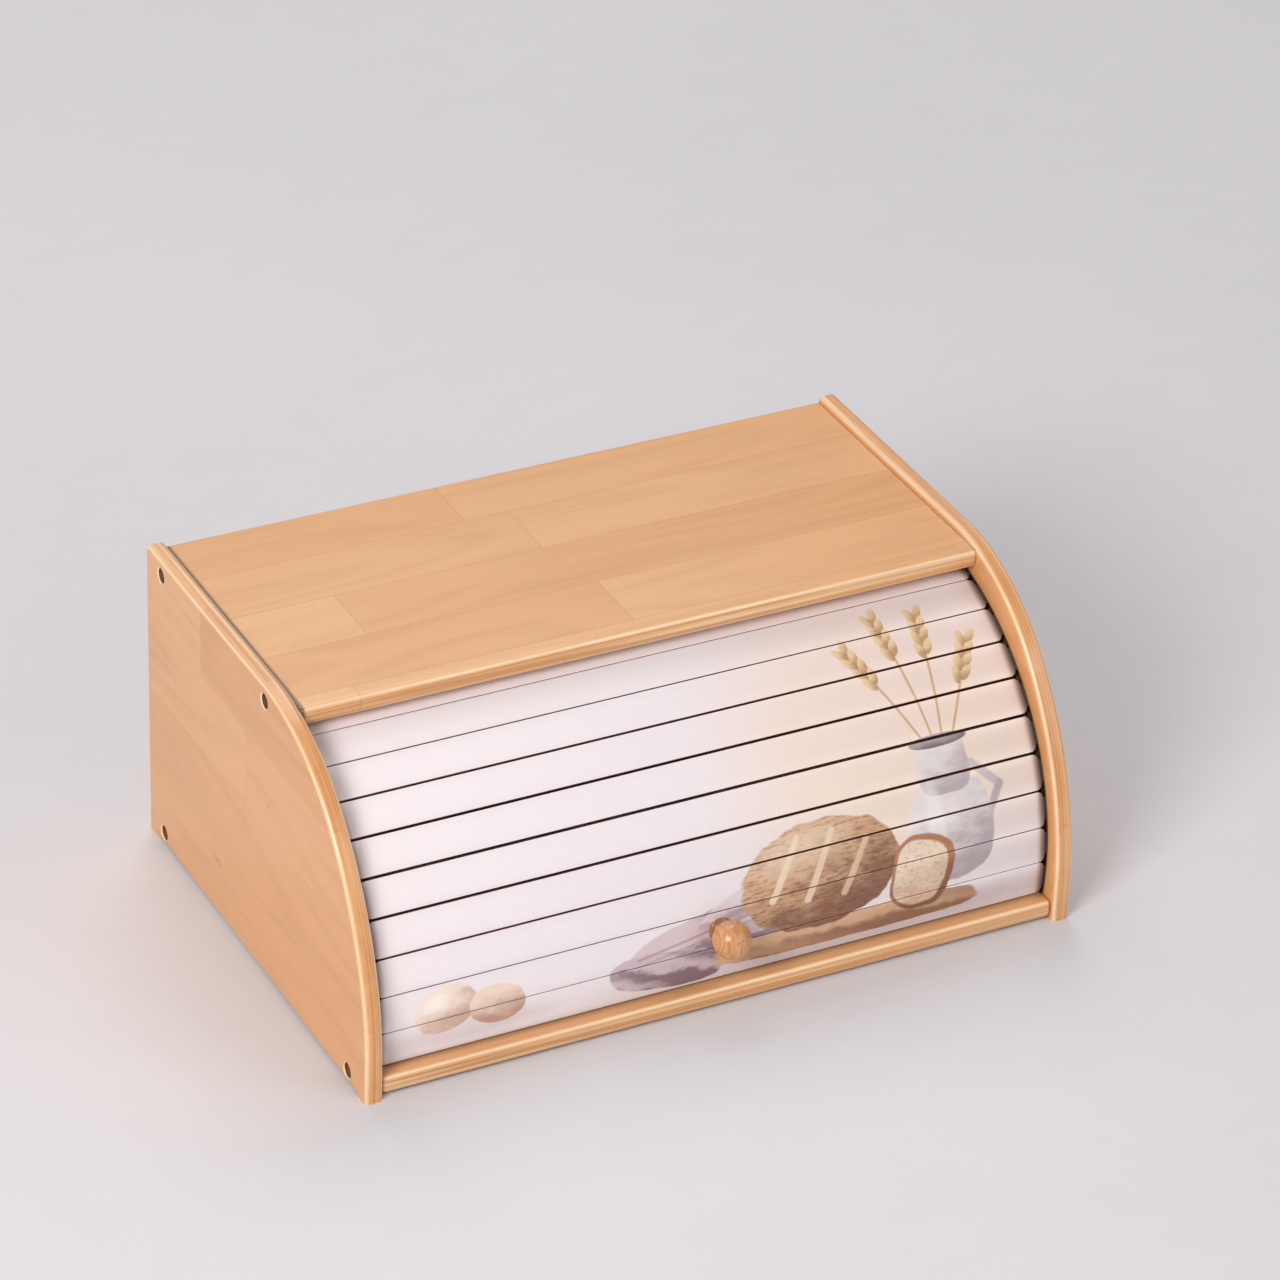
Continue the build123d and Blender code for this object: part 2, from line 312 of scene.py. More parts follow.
def plain_weave() -> bpy.types.NodeTree:
    """Plain-woven threads over and under each other.

    Returns:
        A group that gives the threads' Height and Tone from a place in millimetres.
    """
    takes = {VECTOR: ("Place",), NUMBER: ("Pitch",)}
    effect = SharedEffect("PlainWeave", takes, {NUMBER: ("Height", "Tone")})
    wire = effect.wire
    waver = wire.noise(effect.taken["Place"], (0.35, 0.35, 0.35))
    x, y, _ = wire.parts(effect.taken["Place"])
    turns = [wire.math("DIVIDE", wire.math("ADD", v, waver), effect.taken["Pitch"]) for v in (x, y)]
    waves = [wire.math("SINE", wire.times(turn, math.pi)) for turn in turns]
    over = wire.math("MULTIPLY_ADD", wire.times(*waves), 0.5, 0.5)
    rounded = [wire.math("ABSOLUTE", wave) for wave in waves]
    height = wire.times(wire.math("ADD", *rounded), over)
    slub = wire.noise(effect.taken["Place"], (0.08, 1.6, 1.0))
    effect.give("Height", height)
    effect.give("Tone", wire.times(slub, wire.math("MULTIPLY_ADD", height, 0.35, 0.65)))
    return effect.tree


MARK_GIVES: Sockets = {COLOUR: ("Colour",), VECTOR: ("Place",)}


def pass_on(effect: SharedEffect, colour: bpy.types.NodeSocket) -> None:
    """Gives a mark's colour, and its place again for the next mark.

    The place is moved by a ten-millionth of the colour, which is nothing, but has the marks
    worked out one after another: all at once they don't fit in the renderer's memory for shaders.

    Args:
        effect: The mark's group.
        colour: The colour with the mark over it.
    """
    nothing = 1e-7
    shift = effect.wire.vector("MULTIPLY", colour, (nothing, nothing, 0.0))
    effect.give("Colour", colour)
    effect.give("Place", effect.wire.vector("ADD", effect.taken["Place"], shift))


def soft_patch() -> bpy.types.NodeTree:
    """One painted patch, lighter on the side that the light comes from, over what lies below.

    Returns:
        A group that gives the Colour with the patch over it, and the Place again.
    """
    takes = {COLOUR: ("Under", "Light", "Shade"), VECTOR: ("Place", "Centre", "Turn", "Size")}
    takes[NUMBER] = ("Square", "Soft", "Wobble", "Amount", "Mottle", "Folds", "Crumb", "Speckle")
    effect = SharedEffect("SoftPatch", takes, MARK_GIVES)
    wire, taken = effect.wire, effect.taken
    inputs = {"Vector": taken["Place"], "Location": taken["Centre"]}
    inputs |= {"Rotation": taken["Turn"], "Scale": taken["Size"]}
    local = wire.put("Mapping", inputs, vector_type="TEXTURE").outputs[0]
    round_reach = wire.measure("LENGTH", local)
    square_reach = wire.math("SQRT", wire.measure("LENGTH", wire.vector("MULTIPLY", local, local)))
    between = {0: taken["Square"], 2: round_reach, 3: square_reach}
    reach = wire.math("ADD", wire.put("Mix", between).outputs[0], taken["Wobble"])
    inner = wire.math("SUBTRACT", 1.0, taken["Soft"])
    outer = wire.math("ADD", 1.0, taken["Soft"])
    mask = wire.times(wire.ramp(reach, outer, inner), taken["Amount"])
    to_light, across_folds = (-0.45, 0.9, 0.0), (2.4, 4.6, 0.0)
    lit = wire.measure("DOT_PRODUCT", local, to_light)
    lit = wire.math("MULTIPLY_ADD", taken["Mottle"], 2.2, lit)
    fold = wire.measure("DOT_PRODUCT", local, across_folds)
    fold = wire.math("SINE", wire.math("MULTIPLY_ADD", taken["Mottle"], 6.5, fold))
    lit = wire.ramp(wire.math("MULTIPLY_ADD", fold, taken["Folds"], lit), -0.9, 0.7)
    paint = wire.mix(lit, taken["Shade"], taken["Light"])
    burnt = (0.035, 0.015, 0.01)
    deep = wire.mix(0.68, taken["Shade"], burnt)
    paint = wire.stain(paint, taken["Crumb"], taken["Speckle"], deep)
    pass_on(effect, wire.mix(mask, taken["Under"], paint))
    return effect.tree


def soft_stroke() -> bpy.types.NodeTree:
    """One painted stroke with round ends, over what lies below it.

    Returns:
        A group that gives the Colour with the stroke over it, and the Place again.
    """
    takes = {COLOUR: ("Under", "Tint"), VECTOR: ("Place", "Start", "Run")}
    takes[NUMBER] = ("Width", "Flare", "Amount")
    effect = SharedEffect("SoftStroke", takes, MARK_GIVES)
    wire, taken = effect.wire, effect.taken
    out = wire.vector("SUBTRACT", taken["Place"], taken["Start"])
    share = wire.math(
        "DIVIDE",
        wire.measure("DOT_PRODUCT", out, taken["Run"]),
        wire.measure("DOT_PRODUCT", taken["Run"], taken["Run"]),
        clamp=True,
    )
    nearest = wire.vector("SCALE", taken["Run"])
    wire.feed(nearest.node.inputs["Scale"], share)
    gap = wire.measure("DISTANCE", out, nearest)
    half = wire.times(taken["Width"], wire.math("MULTIPLY_ADD", share, taken["Flare"], 0.5))
    mask = wire.ramp(gap, wire.times(half, 1.35), wire.times(half, 0.6))
    mask = wire.times(mask, taken["Amount"])
    pass_on(effect, wire.mix(mask, taken["Under"], taken["Tint"]))
    return effect.tree


@dataclass
class Effects:
    """The node groups that the finishes share, each made once."""

    staves: bpy.types.NodeTree = field(default_factory=stave_layout)
    grain: bpy.types.NodeTree = field(default_factory=beech_grain)
    arris: bpy.types.NodeTree = field(default_factory=arris_mask)
    weave: bpy.types.NodeTree = field(default_factory=plain_weave)
    patch: bpy.types.NodeTree = field(default_factory=soft_patch)
    stroke: bpy.types.NodeTree = field(default_factory=soft_stroke)


def new_material(name: str) -> tuple[bpy.types.Material, Wiring, bpy.types.Node]:
    """A node material with nothing in it but its shader.

    Args:
        name: The material's name.

    Returns:
        The material, the wiring of its tree and its Principled shader.
    """
    material = bpy.data.materials.new(name)
    material.use_nodes = True
    material.node_tree.nodes.clear()
    wire = Wiring(material.node_tree)
    shader = wire.put("BsdfPrincipled")
    wire.put("OutputMaterial", {"Surface": shader.outputs[0]})
    return material, wire, shader


def cover(
    wire: Wiring, shader: bpy.types.Node, looks: dict, relief: tuple[object, float, float]
) -> None:
    """Feeds a finish to its shader.

    Args:
        wire: The wiring of the material's tree.
        shader: Its Principled shader.
        looks: Input name to a value or a socket.
        relief: The height, how strongly it shows, and how high it stands, in millimetres.
    """
    for name, value in looks.items():
        wire.feed(shader.inputs[name], value)
    height, strength, rise = relief
    bump = wire.put("Bump", {"Height": height, "Strength": strength, "Distance": rise * MM})
    wire.feed(shader.inputs["Normal"], bump.outputs[0])


def object_place(wire: Wiring) -> bpy.types.NodeSocket:
    """The place in the object's own coordinates, which are the frame's at rest."""
    return wire.put("TexCoord").outputs["Object"]


# ------------------------------------------------------------------------------ wood finishes
class GrainWay(Enum):
    """How a board's grain lies: the frame's axes along it, across its face and into it."""

    SIDE = (1, 2, 0)
    SHELF = (0, 1, 2)


@dataclass(frozen=True)
class Knot:
    """A small knot: its place along and across the board, and its length and width."""

    along: float
    across: float
    length: float
    width: float


@dataclass(frozen=True)
class WoodFinish:
    """Clear-varnished beech, edge-glued from staves.

    Attributes:
        name: The material's name.
        way: How the grain lies.
        stave: Length and width of a stave, in metres.
        seed: Shifts the staves, so that no two boards are alike.
        pale, honey, deep: The wood's lightest, usual and darkest colour.
        cream: Pale streaks on the edges, and the painted highlight on the arrises, also rubbed
            there.
        heart, dark: The middle of a knot, and the painted shade laid over the board.
        contrast: How far the staves' tones lie apart, from 0 to 1.
        figure: Strength of the slow figure.
        rings: Growth rings across the figure.
        seam: Darkness of the glue lines.
        rough: The varnish's roughness.
        coat: Weight of the varnish's own gloss.
        knots: The knots on its face.
        bores: Places of the screw wells, along and across the board, painted shaded inside.
        track: The door's circle, where a groove for it is cut, painted shaded with a band beside
            it.
        joints: Where the painted shade line starts in each corner of the top with its neighbours,
            left and right, or 0.
        lip: Where across the board the door comes down on it, with painted shade in front, or 0.
    """

    name: str
    way: GrainWay
    stave: Pair = (0.30, 0.045)
    seed: float = 0.0
    pale: Colour = tint(238, 185, 128)
    honey: Colour = tint(221, 160, 103)
    deep: Colour = tint(184, 122, 64)
    cream: Colour = (1.0, 0.80, 0.53)
    heart: Colour = (0.30, 0.12, 0.045)
    dark: Colour = (0.055, 0.024, 0.014)
    contrast: float = 0.8
    figure: float = 0.27
    rings: float = 9.0
    seam: float = 0.5
    rough: float = 0.34
    coat: float = 0.45
    knots: tuple[Knot, ...] = ()
    bores: tuple[Pair, ...] = ()
    track: "DoorCircle | None" = None
    joints: Pair = (0.0, 0.0)
    lip: float = 0.0

    def knotted(
        self, wire: Wiring, colour: object, along: object, across: object
    ) -> bpy.types.NodeSocket:
        """The colour with the board's knots drawn into it.

        Args:
            wire: The wiring of the material's tree.
            colour: The colour of the clear wood.
            along, across: The place on the board.

        Returns:
            The new colour.
        """
        for knot in self.knots:
            out = wire.joined(
                wire.math("DIVIDE", wire.math("SUBTRACT", along, knot.along), knot.length),
                wire.math("DIVIDE", wire.math("SUBTRACT", across, knot.across), knot.width),
                0.0,
            )
            reach = wire.measure("LENGTH", out)
            ripple = wire.noise(out, (3.0, 3.0, 3.0))
            reach = wire.math("ADD", reach, wire.times(ripple, 0.9))
            ring = wire.ramp(wire.math("PINGPONG", wire.times(reach, 3.0), 0.5), 0.1, 0.5)
            halo = wire.times(wire.ramp(reach, 2.2, 0.6), 0.55)
            colour = wire.stain(colour, halo, ring, self.deep)
            colour = wire.stain(colour, wire.ramp(reach, 0.95, 0.45), 0.5, self.heart)
        return colour

    def with_painted_shade(
        self, wire: Wiring, colour: object, along: object, across: object
    ) -> bpy.types.NodeSocket:
        """The colour with painted shade in the wells, the groove, the corners and by the door's
        foot.

        Args:
            wire: The wiring of the material's tree.
            colour: The colour of the clean wood.
            along, across: The place on the board.

        Returns:
            The new colour.
        """
        well_edge, well_wall = 4.2 * MM, 3.95 * MM
        band_half, band_soft = 3.2 * MM, 1 * MM
        face, groove_floor = 190 * MM, 195.7 * MM
        joint_width, lip_start, lip_end = 2.2 * MM, 5.5 * MM, 1 * MM
        painted_shade: object = 0.0

        def more_shade(mask: object, amount: float) -> bpy.types.NodeSocket:
            """The painted shade so far, or more of it where a mask is."""
            return wire.math("MAXIMUM", painted_shade, wire.times(mask, amount))

        def away(spot: Pair) -> bpy.types.NodeSocket:
            """How far along and across the board a spot is."""
            gaps = [wire.math("SUBTRACT", *pair) for pair in zip((along, across), spot)]
            return wire.measure("LENGTH", wire.joined(*gaps, 0.0))

        # Painted shade inside each screw well.
        for bore in self.bores:
            painted_shade = more_shade(wire.ramp(away(bore), well_edge, well_wall), 0.85)
        # Painted shade in the door's groove and on the side's inner face along it, by the slats'
        # ends.
        if self.track:
            middle = self.track.radius - band_half
            reach = away((self.track.axis_y, self.track.axis_z))
            band = wire.math("ABSOLUTE", wire.math("SUBTRACT", reach, middle))
            band = wire.ramp(band, band_half + band_soft, band_half)
            x = wire.math("ABSOLUTE", wire.parts(object_place(wire))[0])
            within = wire.ramp(x, face + 0.6 * MM, face + 0.2 * MM)
            deep = wire.ramp(x, groove_floor + 0.3 * MM, groove_floor)
            painted_shade = more_shade(wire.times(band, within), 0.9)
            painted_shade = more_shade(wire.times(band, deep), 0.8)
        # Painted shade line in the top board's corners, next to the sides.
        for start in self.joints:
            if start:
                end = start + math.copysign(joint_width, start)
                painted_shade = more_shade(wire.ramp(along, start, end), 0.85)
        # Painted shade on the bottom board just in front of the door's foot.
        if self.lip:
            painted_shade = more_shade(wire.ramp(across, self.lip - lip_start, self.lip - lip_end), 0.4)
        # Lays the painted shade over the wood.
        return wire.mix(painted_shade, colour, self.dark)

    def material(self, effects: Effects) -> bpy.types.Material:
        """Builds the finish.

        Args:
            effects: The shared node groups.

        Returns:
            The material, ready to go on a board.
        """
        material, wire, shader = new_material(self.name)
        frame_axes = wire.parts(object_place(wire))
        along, across, into = (frame_axes[axis] for axis in self.way.value)
        glue_line = 0.45 * MM
        layout = {"Along": along, "Across": across, "Length": self.stave[0], "Width": self.stave[1]}
        layout |= {"Seed": self.seed, "Line": glue_line}
        stave = wire.group(effects.staves, layout)
        place = wire.joined(along, across, into)
        inputs = {"Place": place, "Offset": stave["Offset"], "Rings": self.rings}
        grain = wire.group(effects.grain, inputs)
        facing = [0.0, 0.0, 0.0]
        facing[self.way.value[2]] = 1.0
        edge = wire.group(effects.arris, {"Facing": facing})
        arris = edge["Mask"]
        wear_and_sheen = wire.noise(place, (20.0, 90.0, 90.0))

        tone = wire.spread(stave["Tone"], 0.5 - self.contrast / 2, 0.5 + self.contrast / 2)
        colour = wire.mix(tone, self.honey, self.pale)
        colour = wire.stain(colour, grain["Figure"], self.figure, self.deep)
        colour = wire.mix(wire.spread(grain["Fibre"], 0.0, 0.22), colour, self.deep)
        colour = wire.stain(colour, grain["Fleck"], 0.25, self.deep)
        cloud = wire.noise(place, (6.0, 14.0, 14.0), detail=1.0)
        colour = wire.mix(wire.spread(cloud, -0.1, 0.35), colour, self.pale)
        colour = self.knotted(wire, colour, along, across)
        colour = wire.stain(colour, stave["Seam"], self.seam, self.deep)
        lines = wire.noise(place, (5.0, 5.0, 900.0))
        lines = wire.times(wire.ramp(lines, 0.42, 0.68), edge["Edge"])
        colour = wire.stain(colour, lines, 0.62, self.deep)
        streaks = wire.noise(place, (4.0, 4.0, 420.0), detail=3.0)
        streaks = wire.times(wire.ramp(streaks, 0.48, 0.62), edge["Edge"])
        colour = wire.stain(colour, streaks, 0.45, self.cream)
        # Painted highlight along the arrises, partly varnish rubbed through.
        colour = wire.stain(colour, arris, wire.spread(wear_and_sheen, 0.35, 0.95), self.cream)
        colour = self.with_painted_shade(wire, colour, along, across)
        rough = wire.spread(wear_and_sheen, self.rough - 0.07, self.rough + 0.07)
        rough = wire.math("ADD", rough, wire.times(arris, 0.12))
        height = wire.math("SUBTRACT", grain["Fibre"], wire.times(stave["Seam"], 1.5))
        looks = {"Base Color": colour, "Roughness": rough}
        looks |= {"Coat Weight": self.coat, "Coat Roughness": 0.16}
        cover(wire, shader, looks, (height, 0.10, 0.2))
        return material


@dataclass(frozen=True)
class MetalFinish:
    """Screw and pin metal, plated or blackened, with dull patches.

    Attributes:
        name: The material's name.
        bright, dull: Its colour where it is clean and where it is dull.
        rough: Its roughness where it is clean.
        metal: 1 for bare metal, less under a black oxide.
    """

    name: str
    bright: Colour
    dull: Colour
    rough: float
    metal: float = 1.0

    def material(self) -> bpy.types.Material:
        """Builds the finish.

        Returns:
            The metal's material.
        """
        material, wire, shader = new_material(self.name)
        patches = wire.noise(object_place(wire), (420.0, 420.0, 420.0), detail=3.0)
        patches = wire.ramp(patches, 0.35, 0.7)
        looks = {"Base Color": wire.mix(patches, self.bright, self.dull), "Metallic": self.metal}
        looks["Roughness"] = wire.spread(patches, self.rough, self.rough + 0.2)
        cover(wire, shader, looks, (patches, 0.12, 0.05))
        return material


# ------------------------------------------------------------------------------ door finishes
@dataclass(frozen=True)
class DoorCircle:
    """The circle that the door runs on.

    Attributes:
        axis_y, axis_z: Place of its axis, which lies along X.
        radius: From the axis to the slats' shown faces.
        foot: Angle of the closed door's lower edge, up from the front.
        pitch: Angle from one slat to the next.
    """

    axis_y: float = 7.513 * MM
    axis_z: float = 29.8 * MM
    radius: float = 127.3 * MM
    foot: float = math.radians(-8.038)
    pitch: float = math.radians(9.0543)

    def place(self, angle: float, radius: float) -> Matrix:
        """A part's place on the door: its z points out of the box and its y up along the door.

        Args:
            angle: How far round it is, up from the front.
            radius: How far it is from the axis.

        Returns:
            The turn and the move that bring it there.
        """
        out = Vector((0.0, -math.cos(angle), math.sin(angle)))
        along = Vector((0.0, math.sin(angle), math.cos(angle)))
        centre = Vector((0.0, self.axis_y, self.axis_z)) + out * radius
        turn = Matrix((Vector((1.0, 0.0, 0.0)), along, out)).transposed()
        return Matrix.Translation(centre) @ turn.to_4x4()

    def middle(self, number: float) -> float:
        """Angle of the middle of a slat, counted from 0 at the bottom."""
        return self.foot + (number + 0.5) * self.pitch


class Crumb(Enum):
    """What breaks up a painted surface: nothing, the cracks of a crust, or the pores of a crumb."""

    NONE = 0
    CRACKS = 1
    PORES = 2


@dataclass(frozen=True)
class Patch:
    """One painted patch of the still life, in millimetres across and up the door.

    Attributes:
        centre, half: Its middle and its half width and height.
        light, shade: Its colour on the lit and on the shaded side.
        turn: How far it is turned, in degrees.
        square: 0 for an oval, 1 for nearly a rectangle.
        soft: Softness of its edge, as a share of its size.
        amount: How far it covers what lies below.
        folds: Strength of the folds that run along it.
        crumb: What breaks up its surface.
        speckle: How far that darkens it.
    """

    centre: Pair
    half: Pair
    light: Colour
    shade: Colour
    turn: float = 0.0
    square: float = 0.0
    soft: float = 0.03
    amount: float = 1.0
    folds: float = 0.0
    crumb: Crumb = Crumb.NONE
    speckle: float = 0.6


@dataclass(frozen=True)
class Stroke:
    """One brush stroke of the still life, in millimetres across and up the door."""

    start: Pair
    end: Pair
    width: float
    colour: Colour
    flare: float = 0.0
    amount: float = 1.0


STRAW = tint(206, 166, 112)
GRAIN_PALE = tint(238, 208, 158)
GRAIN_DEEP = tint(184, 138, 86)
CRUST = tint(184, 126, 82)
ROSE = tint(176, 128, 122)


def wheat_ear(foot: Pair, tip: Pair) -> tuple[Patch | Stroke, ...]:
    """An ear of wheat, with its grains in two rows below the tip of its stem.

    Args:
        foot, tip: The two ends of the stem, in millimetres across and up the door.

    Returns:
        The ear's marks, the stem first.
    """
    rows, spacing, stagger, off_stem, splay = 4, 7.0, 1.2, 2.4, 20.0
    run = (Vector(tip) - Vector(foot)).normalized()
    beside = Vector((-run.y, run.x))
    lean = math.degrees(math.atan2(run.y, run.x)) - 90
    marks: list[Patch | Stroke] = [Stroke(foot, tip, 1.3, STRAW, 0.1, 0.85)]
    for row in range(rows):
        for hand in (-1, 1):
            middle = Vector(tip) - run * (row * spacing + hand * stagger) + beside * hand * off_stem
            turn = lean + hand * splay
            marks.append(
                Patch(tuple(middle), (2.3, 4.9), GRAIN_PALE, GRAIN_DEEP, turn, 0.0, 0.06, 0.9)
            )
    return tuple(marks)


WASH: tuple[Patch | Stroke, ...] = (
    Patch((108, 108), (84, 74), tint(246, 220, 202), tint(250, 226, 198), 0, 0.0, 0.5, 0.75),
    Patch((64, 9), (112, 8), tint(206, 190, 192), tint(196, 178, 180), 0, 0.0, 0.5, 0.6),
    Patch((-138, 11), (42, 6), tint(214, 200, 200), tint(204, 188, 188), 0, 0.0, 0.5, 0.6),
)

WHEAT = (
    wheat_ear((130, 92), (100, 156))
    + wheat_ear((133, 92), (123, 171))
    + wheat_ear((136, 92), (147, 168))
    + wheat_ear((139, 92), (168, 148))
)

JUG: tuple[Patch | Stroke, ...] = (
    Stroke((150, 84), (164, 70), 4.6, tint(206, 194, 194)),
    Stroke((164, 70), (152, 48), 4.6, tint(190, 176, 178)),
    Patch((134, 52), (25, 29), tint(238, 230, 228), tint(182, 168, 170), 0, 0.35, 0.03),
    Patch((134, 86), (15, 15), tint(234, 226, 224), tint(190, 176, 178), 0, 0.8, 0.04),
    Patch((134, 99), (16.5, 3.4), tint(176, 160, 162), tint(118, 98, 104), 0, 0.0, 0.06),
    Patch((126, 56), (5, 20), tint(250, 246, 244), tint(244, 238, 236), 4, 0.0, 0.5, 0.7),
)

CLOTH: tuple[Patch | Stroke, ...] = (
    Patch((-4, 25), (48, 17), tint(216, 198, 202), tint(152, 128, 134), 9, 0.5, 0.03, folds=0.8),
    Patch((-30, 14), (32, 11), tint(206, 186, 192), tint(130, 104, 112), -7, 0.5, 0.03, folds=0.8),
    Patch((16, 42), (30, 8), tint(228, 214, 216), tint(176, 154, 158), 20, 0.4, 0.04, folds=0.6),
    Stroke((-46, 24), (26, 36), 1.6, ROSE, 0.0, 0.6),
    Stroke((-47, 20), (26, 32), 0.9, ROSE, 0.0, 0.6),
)

BREAD: tuple[Patch | Stroke, ...] = (
    Patch((74, 13), (76, 7.5), tint(218, 176, 136), tint(150, 106, 76), 0, 0.9, 0.03, folds=0.3),
    Patch(
        (58, 46), (45, 29), tint(222, 176, 134), tint(138, 90, 60), 4, 0.2, 0.02,
        crumb=Crumb.CRACKS, speckle=0.55,
    ),
    Patch((48, 60), (26, 11), tint(240, 220, 198), tint(224, 192, 160), 8, 0.0, 0.5, 0.6),
    Stroke((30, 38), (46, 68), 4.2, tint(242, 220, 190), -0.1, 0.85),
    Stroke((50, 34), (66, 68), 4.2, tint(240, 214, 182), -0.1, 0.85),
    Stroke((71, 33), (85, 60), 4.0, tint(230, 198, 162), -0.1, 0.8),
    Patch((116, 33), (18, 21), CRUST, tint(132, 82, 54), -12, 0.5, 0.03),
    Patch(
        (115, 33), (15.2, 18.2), tint(244, 222, 196), tint(218, 182, 150), -12, 0.5, 0.04,
        crumb=Crumb.PORES, speckle=0.4,
    ),
)

EGGS: tuple[Patch | Stroke, ...] = (
    Patch((-152, 25), (17, 13), tint(244, 226, 210), tint(202, 166, 146), 14, 0.0, 0.04),
    Patch((-124, 21), (15.5, 11.5), tint(238, 214, 194), tint(188, 146, 124), -10, 0.0, 0.04),
    Patch((-157, 30), (6, 4), tint(253, 245, 238), tint(248, 236, 226), 14, 0.0, 0.6, 0.7),
)

STILL_LIFE = WASH + WHEAT + JUG + CLOTH + BREAD + EGGS


@dataclass(frozen=True)
class PrintedPicture:
    """The slats' finish: a still life printed over white lacquer, bare wood painted dark as shade
    where they turn in.

    Attributes:
        name: The material's name.
        circle: The door's circle.
        ground: The white lacquer.
        worn: The lacquer where it is worn and dull.
        wood, wood_dark: The bare wood, painted dark as shade between slats; the darker also shades
            their ends.
        end: Where the shadow at a slat's end starts and where it is deepest, in millimetres.
    """

    name: str
    circle: DoorCircle
    ground: Colour = tint(237, 229, 231)
    worn: Colour = (0.70, 0.62, 0.66)
    wood: Colour = (0.30, 0.085, 0.05)
    wood_dark: Colour = (0.05, 0.014, 0.01)
    end: Pair = (183.5, 188.0)

    def door_place(self, wire: Wiring) -> tuple[bpy.types.NodeSocket, ...]:
        """Where on the door a point lies.

        Args:
            wire: The wiring of the material's tree.

        Returns:
            Millimetres across and up the door, and the direction straight out of its axis.
        """
        x, y, z = wire.parts(object_place(wire))
        ahead = wire.math("SUBTRACT", self.circle.axis_y, y)
        above = wire.math("SUBTRACT", z, self.circle.axis_z)
        angle = wire.math("ARCTAN2", above, ahead)
        turned = wire.math("SUBTRACT", angle, self.circle.foot)
        up = wire.times(turned, self.circle.radius / MM)
        back = wire.times(ahead, -1.0)
        out = wire.vector("NORMALIZE", wire.joined(0.0, back, above))
        return wire.math("DIVIDE", x, MM), up, out

    def painted(self, wire: Wiring, effects: Effects, place: object) -> bpy.types.NodeSocket:
        """The still life over the white ground.

        Args:
            wire: The wiring of the material's tree.
            effects: The shared node groups.
            place: Millimetres across and up the door.

        Returns:
            The print's colour.
        """
        wobble = wire.noise(place, (0.07, 0.07, 0.07))
        wobble = wire.math("MULTIPLY_ADD", wobble, 0.20, -0.10)
        cracks = wire.noise(place, (0.14, 0.62, 1.0), detail=5.0, rough=0.7)
        pores = wire.noise(place, (0.36, 0.46, 1.0), detail=4.0, rough=0.7)
        crumbs = {
            Crumb.NONE: 0.0,
            Crumb.CRACKS: wire.ramp(cracks, 0.50, 0.60),
            Crumb.PORES: wire.ramp(pores, 0.53, 0.62),
        }
        mottle = wire.noise(place, (0.07, 0.13, 1.0), detail=4.0, rough=0.6)
        mottle = wire.math("SUBTRACT", mottle, 0.5)
        colour = self.ground
        for mark in STILL_LIFE:
            if isinstance(mark, Patch):
                inputs = {"Place": place, "Wobble": wobble, "Centre": (*mark.centre, 0.0)}
                inputs |= {"Turn": (0.0, 0.0, math.radians(mark.turn)), "Size": (*mark.half, 1.0)}
                inputs |= {"Square": mark.square, "Soft": mark.soft, "Amount": mark.amount}
                inputs |= {"Light": mark.light, "Shade": mark.shade}
                inputs |= {"Folds": mark.folds, "Mottle": mottle, "Crumb": crumbs[mark.crumb]}
                inputs["Speckle"] = mark.speckle
                tree = effects.patch
            else:
                run = (mark.end[0] - mark.start[0], mark.end[1] - mark.start[1], 0.0)
                inputs = {"Place": place, "Start": (*mark.start, 0.0), "Run": run}
                inputs |= {"Width": mark.width, "Flare": mark.flare, "Amount": mark.amount}
                inputs["Tint"] = mark.colour
                tree = effects.stroke
            done = wire.group(tree, inputs | {"Under": colour})
            colour, place = done["Colour"], done["Place"]
        return colour

    def material(self, effects: Effects) -> bpy.types.Material:
        """Builds the finish.

        Args:
            effects: The shared node groups.

        Returns:
            The material of the slats.
        """
        material, wire, shader = new_material(self.name)
        across, up, out = self.door_place(wire)
        place = wire.joined(across, up, 0.0)
        picture = self.painted(wire, effects, place)
        dapple = wire.noise(place, (0.02, 0.05, 1.0))
        picture = wire.mix(wire.spread(dapple, 0.0, 0.10), picture, self.worn)

        fibre = wire.noise(place, (0.03, 1.4, 1.0), detail=3.0)
        bare_and_gap_shade = wire.mix(fibre, self.wood_dark, self.wood)
        normal = wire.put("TexCoord").outputs["Normal"]
        facing = wire.measure("DOT_PRODUCT", normal, out)
        # Where the slats turn in: bare wood, painted darker as the shade in the gaps between them.
        turned_in, turned_out = 0.40, 0.80
        printed = wire.ramp(facing, turned_in, turned_out)
        colour = wire.mix(printed, bare_and_gap_shade, picture)
        # Painted shadow at the slats' ends, next to the sides' grooves.
        end_shadow = wire.ramp(wire.math("ABSOLUTE", across), *self.end)
        colour = wire.stain(colour, end_shadow, 0.8, self.wood_dark)

        wear = wire.noise(place, (0.10, 0.6, 1.0))
        gloss = wire.spread(wear, 0.36, 0.50)
        matt = wire.math("SUBTRACT", 1.0, printed)
        rough = wire.math("MULTIPLY_ADD", matt, 0.35, gloss)
        looks = {"Base Color": colour, "Roughness": rough, "Specular IOR Level": 0.3}
        looks |= {"Coat Weight": wire.times(printed, 0.10), "Coat Roughness": 0.22}
        cover(wire, shader, looks, (fibre, 0.10, 0.2))
        return material


